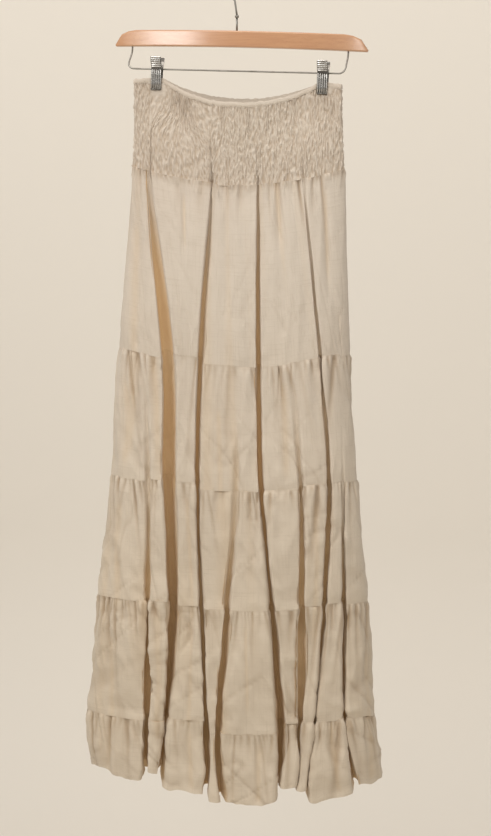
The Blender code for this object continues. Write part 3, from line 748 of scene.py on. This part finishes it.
def walls(cloth):
    """The rows of the outer wall and then of the inner one, and how far out each point lies."""
    rows = cloth.x.shape[0]
    kept = np.linspace(0, rows - 1, rows // ROWS_TO_ONE_INNER + 2).round().astype(int)
    kept = np.unique(kept)
    reach = ROWS_TO_ONE_INNER if rows > 2 * ROWS_TO_ONE_INNER else 1
    lowest = np.array([cloth.out[max(k - reach, 0):k + reach + 1].min(axis=0) for k in kept])
    inner = np.clip(lowest, -2 * MM, 0.8 * MM) - SHELL / 2
    inner = np.minimum(inner, lowest + SHELL / 2 - THINNEST)
    out = np.concatenate([cloth.out + SHELL / 2, inner[::-1]])
    return np.concatenate([np.arange(rows), kept[::-1]]), out


def tube_faces(rings):
    """Faces between rings of points. The last ring meets the first, so the tube is closed."""
    k, i = np.meshgrid(np.arange(rings), np.arange(COLUMNS), indexing="ij")
    below, beside = (k + 1) % rings, (i + 1) % COLUMNS
    corners = [(k, i), (below, i), (below, beside), (k, beside)]
    return np.stack([a * COLUMNS + b for a, b in corners], axis=2).reshape(-1, 4)


def cloth_uv(cloth, rows_at):
    """A UV map in metres of cloth, corner by corner as the faces have them."""
    k, i = np.meshgrid(np.arange(len(rows_at)), np.arange(COLUMNS), indexing="ij")
    down = cloth.below_top.mean(axis=1)[rows_at]
    across = np.append(cloth.share, 1.0) * cloth.round.max()
    left, right, top, foot = across[i], across[i + 1], down[k], down[(k + 1) % len(rows_at)]
    corners = [(left, top), (left, foot), (right, foot), (right, top)]
    return np.stack([np.stack(corner, axis=2) for corner in corners], axis=2)


def shell(name, cloth):
    """A closed mesh of the cloth, with fold and crease values on its points for its painted shade and
    painted glow.
    """
    rows_at, out = walls(cloth)
    x, y, z = (values[rows_at] for values in (cloth.x, cloth.y, cloth.z))
    points = np.stack([x + cloth.nx[rows_at] * out, y + cloth.ny[rows_at] * out, z], axis=2)
    faces = tube_faces(len(rows_at))
    mesh = bpy.data.meshes.new(name + "_cloth")
    mesh.vertices.add(points.size // 3)
    mesh.vertices.foreach_set("co", points.ravel())
    mesh.loops.add(faces.size)
    mesh.loops.foreach_set("vertex_index", faces.ravel())
    mesh.polygons.add(len(faces))
    mesh.polygons.foreach_set("loop_start", np.arange(0, faces.size, 4))
    mesh.update(calc_edges=True)
    layer = mesh.uv_layers.new(name="cloth")
    layer.data.foreach_set("uv", cloth_uv(cloth, rows_at).astype(np.float32).ravel())
    hidden = (np.arange(len(rows_at)) >= len(cloth.x))[:, None]
    shade = INSIDE_SHADE_SMOCKING if name in ("waist_edge", "smocked_yoke") else INSIDE_SHADE_TIERS
    for label, values, under in (("fold", cloth.fold, shade), ("crease", cloth.crease, 0.0)):
        attribute = mesh.attributes.new(label, "FLOAT", "POINT")
        both = np.clip(values[rows_at] + under * hidden, 0, 1)
        attribute.data.foreach_set("value", both.ravel().astype(np.float32))
    mesh.shade_smooth()
    mesh.set_sharp_from_angle(angle=math.radians(RIM_ANGLE))
    piece = bpy.data.objects.new(name + "_cloth", mesh)
    bpy.context.scene.collection.objects.link(piece)
    return piece


shells = {name: shell(name, cloth) for name, cloth in cloths.items()}
for name, piece in shells.items():
    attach(piece, body)
    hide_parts(name)
    print(name, "triangles:", 2 * len(piece.data.polygons))


# %% [markdown]
# Shader sums read best as Python sums. This small class wraps a socket, and a sum on it adds a
# Math node. One method of the finish makes every other node.

# %% Shader helpers
class Value:
    """A shader socket that can stand in a sum."""

    def __init__(self, finish, socket):
        self.finish, self.socket = finish, socket

    def sum(self, operation, first, second=0.0):
        return self.finish.node("ShaderNodeMath", {"operation": operation}, (first, second))

    def __add__(self, other):
        return self.sum("ADD", self, other)

    def __sub__(self, other):
        return self.sum("SUBTRACT", self, other)

    def __rsub__(self, other):
        return self.sum("SUBTRACT", other, self)

    def __mul__(self, other):
        return self.sum("MULTIPLY", self, other)

    def sine(self):
        return self.sum("SINE", self)

    __radd__, __rmul__ = __add__, __mul__


class Finish:
    """A material with a Principled shader, and one method that adds nodes to it."""

    def __init__(self, name, **fixed):
        self.material = bpy.data.materials.new(name)
        self.material.use_nodes = True
        self.tree = self.material.node_tree
        self.shader = self.tree.nodes["Principled BSDF"]
        for label, value in fixed.items():
            self.shader.inputs[label.replace("_", " ")].default_value = value

    def node(self, kind, settings, inputs, output=0):
        """A node of a kind. inputs is a list in socket order, or a table of names to values."""
        made = self.tree.nodes.new(kind)
        for label, value in settings.items():
            setattr(made, label, value)
        pairs = inputs.items() if isinstance(inputs, dict) else enumerate(inputs)
        for key, value in pairs:
            if isinstance(value, Value):
                self.tree.links.new(value.socket, made.inputs[key])
            elif value is not None:
                made.inputs[key].default_value = value
        return Value(self, made.outputs[output])

    def give(self, **links):
        for label, value in links.items():
            self.tree.links.new(value.socket, self.shader.inputs[label.replace("_", " ")])

    def blend(self, factor, low, high):
        """A colour between two others."""
        settings = {"data_type": "RGBA"}
        return self.node("ShaderNodeMix", settings, {0: factor, 6: low, 7: high}, output=2)

    def steps(self, value, low, high):
        """0 below low, 1 above high, smooth between."""
        settings = {"interpolation_type": "SMOOTHSTEP"}
        inputs = {"Value": value, "From Min": low, "From Max": high}
        return self.node("ShaderNodeMapRange", settings, inputs)

    def bump(self, height, distance, strength, over=None):
        """Relief from a height, alone or over another bump."""
        inputs = {"Strength": strength, "Distance": distance, "Height": height, "Normal": over}
        return self.node("ShaderNodeBump", {}, inputs)

    def place(self):
        """The place on the object, in metres."""
        return self.node("ShaderNodeTexCoord", {}, [], "Object")

    def parts(self, vector):
        """The three numbers of a vector."""
        first = self.node("ShaderNodeSeparateXYZ", {}, [vector])
        return [Value(self, output) for output in first.socket.node.outputs]

    def noise(self, vector, scale, detail, dimensions="3D"):
        """Noise over a vector. A scale of three numbers stretches it."""
        if isinstance(scale, tuple):
            vector = self.node("ShaderNodeMapping", {}, {"Vector": vector, "Scale": scale})
            scale = 1.0
        inputs = {"Vector": vector, "Scale": scale, "Detail": detail}
        return self.node("ShaderNodeTexNoise", {"noise_dimensions": dimensions}, inputs)


def colour(red, green, blue):
    """A colour as a picture gives it, 0 to 255, turned into the light values of a shader."""
    shares = [c / 255 for c in (red, green, blue)]
    return tuple(s / 12.92 if s < 0.04045 else ((s + 0.055) / 1.055) ** 2.4 for s in shares) + (1.0,)


BLACK = colour(0, 0, 0)


# %% [markdown]
# The linen is a loose plain weave of uneven yarn. Threads are two crossed waves on the cloth's
# own UV map, slubs are noise stretched along a thread, and larger patches vary the colour. The
# colour is painted darker lower down, as painted shade for light that falls off downwards. Deep
# folds, creases, grooves and seams get a warm, dark painted shade. Folds also get a painted glow,
# an emission that stands in for the light that comes through the thin cloth.

# %% Linen
YARN = 1.3 * MM


def linen():
    finish = Finish("linen", Roughness=0.92, Specular_IOR_Level=0.25, Sheen_Weight=0.15,
                    Sheen_Roughness=0.5, Emission_Strength=0.44)
    on_cloth = finish.node("ShaderNodeUVMap", {"uv_map": "cloth"}, [])
    u, v = finish.parts(on_cloth)[:2]
    wobble = finish.noise(on_cloth, (40, 40, 1), 2.0, "2D") * 0.004
    pitch = math.tau / YARN
    weave = ((u + wobble) * pitch).sine() * ((v + wobble) * pitch).sine()
    warp_slub = finish.steps(finish.noise(on_cloth, (700, 14, 1), 2.0, "2D"), 0.56, 0.74)
    weft_slub = finish.steps(finish.noise(on_cloth, (14, 700, 1), 2.0, "2D"), 0.56, 0.74)
    place = finish.place()
    patch = finish.steps(finish.noise(place, 5.0, 3.0), 0.38, 0.64)
    fold = finish.node("ShaderNodeAttribute", {"attribute_name": "fold"}, [], "Fac")
    crease = finish.node("ShaderNodeAttribute", {"attribute_name": "crease"}, [], "Fac")
    height = finish.parts(place)[2]

    # Lower on the skirt the colour is painted darker: painted shade for the light that falls off
    # downwards. The patches are the cloth's own uneven tone.
    shaded_lower = finish.blend(patch, colour(203, 188, 167), colour(197, 182, 161))
    lit_upper = finish.blend(patch, colour(204, 192, 177), colour(199, 186, 171))
    plain = finish.blend(finish.steps(height, -1.1, -0.3), shaded_lower, lit_upper)
    threads = finish.blend(warp_slub * 0.22 + weft_slub * 0.18, plain, colour(176, 160, 139))
    crossings = finish.steps(weave, -0.4, 1.0) * 0.16
    woven = finish.blend(crossings, threads, colour(222, 212, 196))
    # Deep folds get a warm, dark painted shade.
    fold_shaded = finish.blend(finish.steps(fold, 0.02, 0.26) * 0.8, woven, colour(196, 168, 128))
    # Creases, grooves, seam lines and the smocking's hollows get a dark painted shade.
    crease_shaded = finish.blend(crease * 0.55, fold_shaded, colour(150, 124, 94))
    # Folds get a painted glow: an emission that stands in for the light coming through the thin cloth,
    # painted stronger higher up where more light falls.
    lit = finish.steps(height, -1.0, -0.45) * 0.7 + 0.3
    painted_glow = finish.blend(finish.steps(fold, 0.03, 0.34) * lit, BLACK, colour(148, 116, 76))
    rumpled = finish.bump(finish.noise(place, 190.0, 3.0), 0.9 * MM, 0.5)
    yarns = weave * 0.5 + warp_slub * 0.9 + weft_slub * 0.8
    relief = finish.bump(yarns, 0.25 * MM, 0.5, rumpled)
    finish.give(Base_Color=crease_shaded, Normal=relief, Emission_Color=painted_glow)
    return finish.material


linen_finish = linen()
for piece in shells.values():
    piece.data.materials.append(linen_finish)
print("linen nodes:", len(linen_finish.node_tree.nodes))


# %% [markdown]
# The bar is varnished beech: orange-tan, with fine dark pores along it. Noise that is stretched
# along X gives the grain, and a second one the slow change of tone.

# %% Wood
def wood():
    finish = Finish("honey wood", Specular_IOR_Level=0.5, Coat_Weight=0.9, Coat_Roughness=0.22,
                    Coat_IOR=2.0)
    place = finish.place()
    bands = finish.steps(finish.noise(place, (9, 260, 260), 4.0), 0.35, 0.68)
    pores = finish.steps(finish.noise(place, (45, 1300, 1300), 3.0), 0.60, 0.72)
    slow = finish.steps(finish.noise(place, (5, 30, 30), 2.0), 0.3, 0.7)
    tone = finish.blend(slow, colour(196, 144, 98), colour(186, 132, 88))
    banded = finish.blend(bands * 0.4, tone, colour(178, 120, 76))
    final = finish.blend(pores * 0.35, banded, colour(130, 82, 50))
    pitted = finish.bump(pores, 0.1 * MM, 0.4)
    finish.give(Base_Color=final, Roughness=bands * 0.12 + 0.3, Normal=pitted)
    return finish.material


wood_finish = wood()
print("wood nodes:", len(wood_finish.node_tree.nodes))


# %% [markdown]
# The sewing thread is two plies twisted together, so its colour and its bump run in fine slanted
# bands.

# %% Thread
def thread():
    finish = Finish("sewing thread", Roughness=0.8, Sheen_Weight=0.2)
    ply = finish.noise(finish.place(), (1400.0, 1400.0, 2600.0), 1.0)
    tone = finish.blend(finish.steps(ply, 0.35, 0.65), colour(206, 192, 170), colour(180, 162, 138))
    finish.give(Base_Color=tone, Normal=finish.bump(ply, 0.1 * MM, 0.4))
    return finish.material


thread_finish = thread()
print("thread nodes:", len(thread_finish.node_tree.nodes))


# %% [markdown]
# The hook and rail are drawn wire, and the clips are plated sheet. Both are metal with faint
# marks from handling, rougher where they are worn.

# %% Metals
def metal(name, tone, worn, smoothness, mark_size):
    finish = Finish(name, Metallic=1.0)
    place = finish.place()
    scuffs = finish.steps(finish.noise(place, mark_size, 5.0), 0.45, 0.7)
    fine = finish.noise(place, mark_size * 9, 2.0)
    finish.give(
        Base_Color=finish.blend(scuffs, tone, worn),
        Roughness=scuffs * 0.2 + smoothness,
        Normal=finish.bump(fine, 0.05 * MM, 0.3),
    )
    return finish.material


wire_finish = metal("drawn wire", colour(150, 146, 138), colour(132, 127, 118), 0.38, 60.0)
clip_finish = metal("plated clip", colour(112, 108, 102), colour(84, 78, 72), 0.24, 160.0)
spring_finish = metal("dark spring", colour(92, 88, 84), colour(70, 66, 62), 0.35, 200.0)
# The ribs' finish is the plate's metal made brighter: a painted highlight.
rib_highlight_finish = metal("rib painted highlight", colour(228, 226, 222), colour(186, 182, 176), 0.2, 160.0)
for name, node in frame["nodes"].items():
    if name in shells:
        continue
    chosen = wood_finish if name == "hanger_bar" else wire_finish
    if name.startswith("clip_left") or name.startswith("clip_right"):
        chosen = spring_finish if name.endswith("spring") else clip_finish
    node.data.materials.clear()
    node.data.materials.append(chosen)
print("finished hanger parts:", len(frame["nodes"]) - len(shells))

# %% [markdown]
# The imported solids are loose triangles, so round parts of them look faceted. A copy with its
# points merged can be shaded smooth, except over real edges, and it takes the solid's place.

# %% Round parts
SAME_POINT = 0.01 * MM
# Each part's sharpest smooth edge, in degrees.
ROUND_PARTS = {
    "hanger_bar": 14,
    "hook": 60,
    "hook_stem": 40,
    "hook_collar": 40,
    "clip_rail": 60,
    "clip_left_spring": 40,
    "clip_right_spring": 40,
}


def merged_copy(name, edge_angle):
    """The node's mesh as one joined surface, smooth but for edges sharper than the angle."""
    node = frame["nodes"][name]
    mesh = node.data.copy()
    joined = bmesh.new()
    joined.from_mesh(mesh)
    bmesh.ops.remove_doubles(joined, verts=joined.verts, dist=SAME_POINT)
    joined.to_mesh(mesh)
    joined.free()
    mesh.shade_smooth()
    mesh.set_sharp_from_angle(angle=math.radians(edge_angle))
    piece = bpy.data.objects.new(name + "_smooth", mesh)
    bpy.context.scene.collection.objects.link(piece)
    return piece


for name, edge_angle in ROUND_PARTS.items():
    piece = merged_copy(name, edge_angle)
    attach(piece, body)
    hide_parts(name)
    print(name, "points after merging:", len(piece.data.vertices))

# %% [markdown]
# Geometry Nodes repeat small things along a path: ribs on a clip, stitches round a hem. The group
# cuts a path into steps, sets a copy of a small shape on each, and makes the copies real. The
# stitches are also turned along their path.

# %% Repeat along a path
def repeat_tree(turned):
    """A node group that sets copies of a shape along a path, turned along it or not."""
    tree = bpy.data.node_groups.new("repeat along path", "GeometryNodeTree")
    entries = {"Path": "Geometry", "Shape": "Object", "Step": "Float", "Finish": "Material"}
    for label, kind in entries.items():
        tree.interface.new_socket(label, in_out="INPUT", socket_type="NodeSocket" + kind)
    tree.interface.new_socket("Copies", in_out="OUTPUT", socket_type="NodeSocketGeometry")
    new = tree.nodes.new
    given, result = new("NodeGroupInput"), new("NodeGroupOutput")
    curve, points = new("GeometryNodeMeshToCurve"), new("GeometryNodeCurveToPoints")
    points.mode = "LENGTH"
    info, copies = new("GeometryNodeObjectInfo"), new("GeometryNodeInstanceOnPoints")
    real, dress = new("GeometryNodeRealizeInstances"), new("GeometryNodeSetMaterial")
    links = [
        (given, "Path", curve, "Mesh"),
        (curve, "Curve", points, "Curve"),
        (given, "Step", points, "Length"),
        (given, "Shape", info, "Object"),
        (points, "Points", copies, "Points"),
        (info, "Geometry", copies, "Instance"),
        (copies, "Instances", real, "Geometry"),
        (real, "Geometry", dress, "Geometry"),
        (given, "Finish", dress, "Material"),
        (dress, "Geometry", result, "Copies"),
    ]
    for start, output, end, entry in links + [(points, "Rotation", copies, "Rotation")] * turned:
        tree.links.new(start.outputs[output], end.inputs[entry])
    return tree


TREES = {turned: repeat_tree(turned) for turned in (False, True)}


def repeat_along(name, path, closed, turned, step, shape, finish):
    """Copies of a shape at every step along a path of points, as one plain mesh."""
    line = bpy.data.meshes.new(name + "_path")
    links = [(k, (k + 1) % len(path)) for k in range(len(path) if closed else len(path) - 1)]
    line.from_pydata([tuple(map(float, point)) for point in path], links, [])
    carrier = bpy.data.objects.new(name, line)
    bpy.context.scene.collection.objects.link(carrier)
    modifier = carrier.modifiers.new("repeat", "NODES")
    modifier.node_group = TREES[turned]
    given = {"Shape": shape, "Step": step, "Finish": finish}
    for item in TREES[turned].interface.items_tree:
        if item.name in given:
            modifier[item.identifier] = given[item.name]
    bpy.context.view_layer.update()
    evaluated = carrier.evaluated_get(bpy.context.evaluated_depsgraph_get())
    copies_mesh = bpy.data.meshes.new_from_object(evaluated)
    bpy.data.objects.remove(carrier, do_unlink=True)
    piece = bpy.data.objects.new(name, copies_mesh)
    bpy.context.scene.collection.objects.link(piece)
    return piece


def rod(name, radius, path, sides=8):
    """A rounded rod along a path of points, closed at both ends by a point."""
    rows = []
    path = [np.array(point, float) for point in path]
    for k, point in enumerate(path):
        ahead = path[min(k + 1, len(path) - 1)] - path[max(k - 1, 0)]
        ahead /= np.linalg.norm(ahead)
        side = np.cross(ahead, (1, 0, 0) if abs(ahead[0]) < 0.8 else (0, 1, 0))
        side /= np.linalg.norm(side)
        other = np.cross(ahead, side)
        thick = radius * (0.55 if k in (0, len(path) - 1) else 1.0)
        for n in range(sides):
            angle = math.tau * n / sides
            rows.append(point + thick * (side * math.cos(angle) + other * math.sin(angle)))
    faces = []
    for k in range(len(path) - 1):
        for n in range(sides):
            m = (n + 1) % sides
            faces.append((k * sides + n, k * sides + m, (k + 1) * sides + m, (k + 1) * sides + n))
    faces.append(tuple(range(sides - 1, -1, -1)))
    faces.append(tuple((len(path) - 1) * sides + n for n in range(sides)))
    mesh = bpy.data.meshes.new(name)
    mesh.from_pydata([tuple(row) for row in rows], [], faces)
    mesh.shade_smooth()
    return bpy.data.objects.new(name, mesh)


# %% [markdown]
# Each clip's plates are pressed sheet. Upright ribs stiffen the lower half, and flat ridges
# cross the upper half. A rolled lip closes the foot. The ribs are a brighter copy of the plate's
# metal, a painted highlight where they catch the light.

# %% Ribs of the clips
HANGER_LEAN = math.radians(2.4)
foot_of_stem = Matrix.Translation((0, 0, BAR_TOP))
hanger_turn = foot_of_stem @ Matrix.Rotation(HANGER_LEAN, 4, "Y") @ foot_of_stem.inverted()
# Places on a plate's outer face in mm, as (distance out from the rail, height over the rail).
LOWER_FACE = [(5.4, -0.8), (5.3, -3.2), (4.7, -9.5), (3.9, -20.5), (3.8, -29.6)]
UPPER_FACE = [(6.2, 3.6), (7.7, 6.2), (10.9, 11.5), (11.9, 16.6)]
LIP_OUT, LIP_UP = 3.6 * MM, -29.7 * MM
# Places across the plate in mm. The outer two of each are the rod's rounded ends.
RIDGE_ACROSS = (-7.2, -6.4, 6.4, 7.2)
LIP_ACROSS = (-7.7, -7.0, 7.0, 7.7)
RIB_RADIUS, RIDGE_RADIUS, LIP_RADIUS = 0.95 * MM, 1.15 * MM, 1.2 * MM
RIB_STEP, RIDGE_STEP = 3.1 * MM, 2.7 * MM
# The ribs stand between these places. The second is a little further, so the last rib fits.
FIRST_RIB, LAST_RIB = 6.2 * MM, 6.2 * MM + 0.1 * MM
ribs = []
for side_name, clip_x in (("left", LEFT_CLIP_X), ("right", RIGHT_CLIP_X)):
    for face_name, way in (("front", -1), ("back", 1)):
        name = f"clip_{side_name}_{face_name}"
        across = [(clip_x - FIRST_RIB, 0, RAIL_Z), (clip_x + LAST_RIB, 0, RAIL_Z)]
        upright = rod("rib", RIB_RADIUS, [(0, way * out * MM, z * MM) for out, z in LOWER_FACE])
        made = [repeat_along(name + "_ribs", across, False, False, RIB_STEP, upright, rib_highlight_finish)]
        up = [(clip_x, way * out * MM, RAIL_Z + z * MM) for out, z in UPPER_FACE]
        flat = rod("ridge", RIDGE_RADIUS, [(x * MM, 0, 0) for x in RIDGE_ACROSS])
        made.append(repeat_along(name + "_ridges", up, False, False, RIDGE_STEP, flat, rib_highlight_finish))
        foot = [(clip_x + x * MM, way * LIP_OUT, RAIL_Z + LIP_UP) for x in LIP_ACROSS]
        lip = rod(name + "_lip", LIP_RADIUS, foot)
        lip.data.materials.append(clip_finish)
        bpy.context.scene.collection.objects.link(lip)
        made.append(lip)
        for piece in made:
            piece.data.transform(hanger_turn)
            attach(piece, body)
        ribs += made
print("pieces on the clips:", len(ribs), "triangles:", sum(len(p.data.polygons) * 2 for p in ribs))


# %% [markdown]
# A running stitch holds the turned hem and the turned waist edge. Its path is one row of the
# shell, and each stitch lies half in the cloth.

# %% Stitches
STITCH_STEP, STITCH_RADIUS = 3.4 * MM, 0.34 * MM
HEM_STITCHES_UP = 7 * MM
WAIST_STITCH_ROW = 3


def row_path(cloth, row):
    stand = cloth.out[row] + SHELL / 2
    x = cloth.x[row] + cloth.nx[row] * stand
    y = cloth.y[row] + cloth.ny[row] * stand
    return np.stack([x, y, cloth.z[row]], axis=1)[::2]


stitch = rod("stitch", STITCH_RADIUS, [(0, 0, z * MM) for z in (-1.1, -0.7, 0.7, 1.1)], sides=5)
hem_row = int(np.abs(above_hem.mean(axis=1) - HEM_STITCHES_UP).argmin())
rows = (("hem_stitches", hem, hem_row), ("waist_stitches", edge, WAIST_STITCH_ROW))
for name, cloth, row in rows:
    round_it = row_path(cloth, row)
    line = repeat_along(name, round_it, True, True, STITCH_STEP, stitch, thread_finish)
    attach(line, body)
    print(name, "triangles:", 2 * len(line.data.polygons))

# %% [markdown]
# Each sheet's cut size is printed. The shell's own area, halved because it has two walls, is
# what shows. The waist edge is the yoke's own turned edge, so it is not printed on its own.

for name, piece in shells.items():
    if name == "waist_edge":
        continue
    tall = float(cloths[name].below_top[-1].mean())
    wide = sum(p.area for p in piece.data.polygons) / 2 / tall
    held = "hung" if name == "tier_1" else "gathered"
    turned = [shells["waist_edge"]] if name == "smocked_yoke" else []
    print(name, "cut in mm:", round(wide / MM), "by", round(tall / MM))


# %% [markdown]
# The stage is a roll of pale paper that hangs down behind the skirt and runs out over a pale
# floor, as in a studio. The paper is narrow, so the skirt can be seen from behind too. The
# lights are large and soft, so that the skirt's own folds, with their painted shade, make the
# only strong shading.

# %% Stage
FLOOR_Z = -1.62
FLOOR_HALF = 4.0
PAPER_X = (-1.25, 0.7)
PAPER_FRONT_Y, WALL_Y = -1.6, 1.5
PAPER_BEND, PAPER_TOP = 0.6, 1.6
BEND_STEPS = 12
PALE = colour(226, 219, 208)
# Each light's name, its place, where it aims, its size in metres, its watts and its tint.
LIGHTS = [
    ("window light", (-1.9, -2.2, 1.2), (0, 0, -0.2), (1.4, 1.6), 29, (1.0, 0.98, 0.95)),
    ("ceiling light", (-0.3, -1.9, 1.5), (0, 0, -0.2), (1.6, 0.8), 12, (1.0, 0.98, 0.95)),
    ("fill light", (2.2, -2.4, 0.6), (0, 0, -0.4), (1.6, 1.8), 20, (1.0, 0.97, 0.93)),
    ("varnish light", (-1.17, -1.70, 0.11), (-0.12, 0, -0.1), (0.6, 0.3), 3.6, (1.0, 0.99, 0.97)),
    ("wall light", (-0.3, -0.6, 2.2), (-0.3, 1.4, -1.6), (3.0, 0.6), 38, (1.0, 0.98, 0.96)),
]
ROOM_TINT, ROOM_STRENGTH = (0.95, 0.92, 0.88, 1.0), 0.485


def paper_profile(wall_y, bend, top):
    """Places (y, z) along the paper, from its front edge up over the bend."""
    profile = [(PAPER_FRONT_Y, FLOOR_Z)]
    for step in range(BEND_STEPS + 1):
        angle = math.pi / 2 * step / BEND_STEPS
        y = wall_y - bend + bend * math.sin(angle)
        profile.append((y, FLOOR_Z + bend - bend * math.cos(angle)))
    return profile + [(wall_y, top)]


def strip(name, profile, ends):
    """A strip between two places across, along a profile of (y, z)."""
    points = [(x, y, z) for x in ends for y, z in profile]
    count = len(profile)
    faces = [(i, count + i, count + i + 1, i + 1) for i in range(count - 1)]
    mesh = bpy.data.meshes.new(name)
    mesh.from_pydata(points, [], faces)
    mesh.shade_smooth()
    made = bpy.data.objects.new(name, mesh)
    bpy.context.scene.collection.objects.link(made)
    paint = Finish(name, Roughness=0.95, Specular_IOR_Level=0.1)
    paint.shader.inputs["Base Color"].default_value = PALE
    mesh.materials.append(paint.material)
    return made


def soft_light(name, at, aim, size, watts, tint):
    lamp = bpy.data.lights.new(name, "AREA")
    lamp.shape = "RECTANGLE"
    lamp.size, lamp.size_y = size
    lamp.energy = watts
    lamp.color = tint
    made = bpy.data.objects.new(name, lamp)
    made.location = at
    made.rotation_euler = (Vector(at) - Vector(aim)).to_track_quat("Z", "Y").to_euler()
    bpy.context.scene.collection.objects.link(made)
    return made


strip("pale paper", paper_profile(WALL_Y, PAPER_BEND, PAPER_TOP), PAPER_X)
under_paper = FLOOR_Z - 1 * MM
floor = [(-FLOOR_HALF, under_paper), (FLOOR_HALF, under_paper)]
strip("pale floor", floor, (-FLOOR_HALF, FLOOR_HALF))
for light in LIGHTS:
    soft_light(*light)
world = bpy.data.worlds.new("pale room")
bpy.context.scene.world = world
world.use_nodes = True
background = world.node_tree.nodes["Background"]
background.inputs["Color"].default_value = ROOM_TINT
background.inputs["Strength"].default_value = ROOM_STRENGTH
bpy.context.scene.view_settings.view_transform = "Standard"
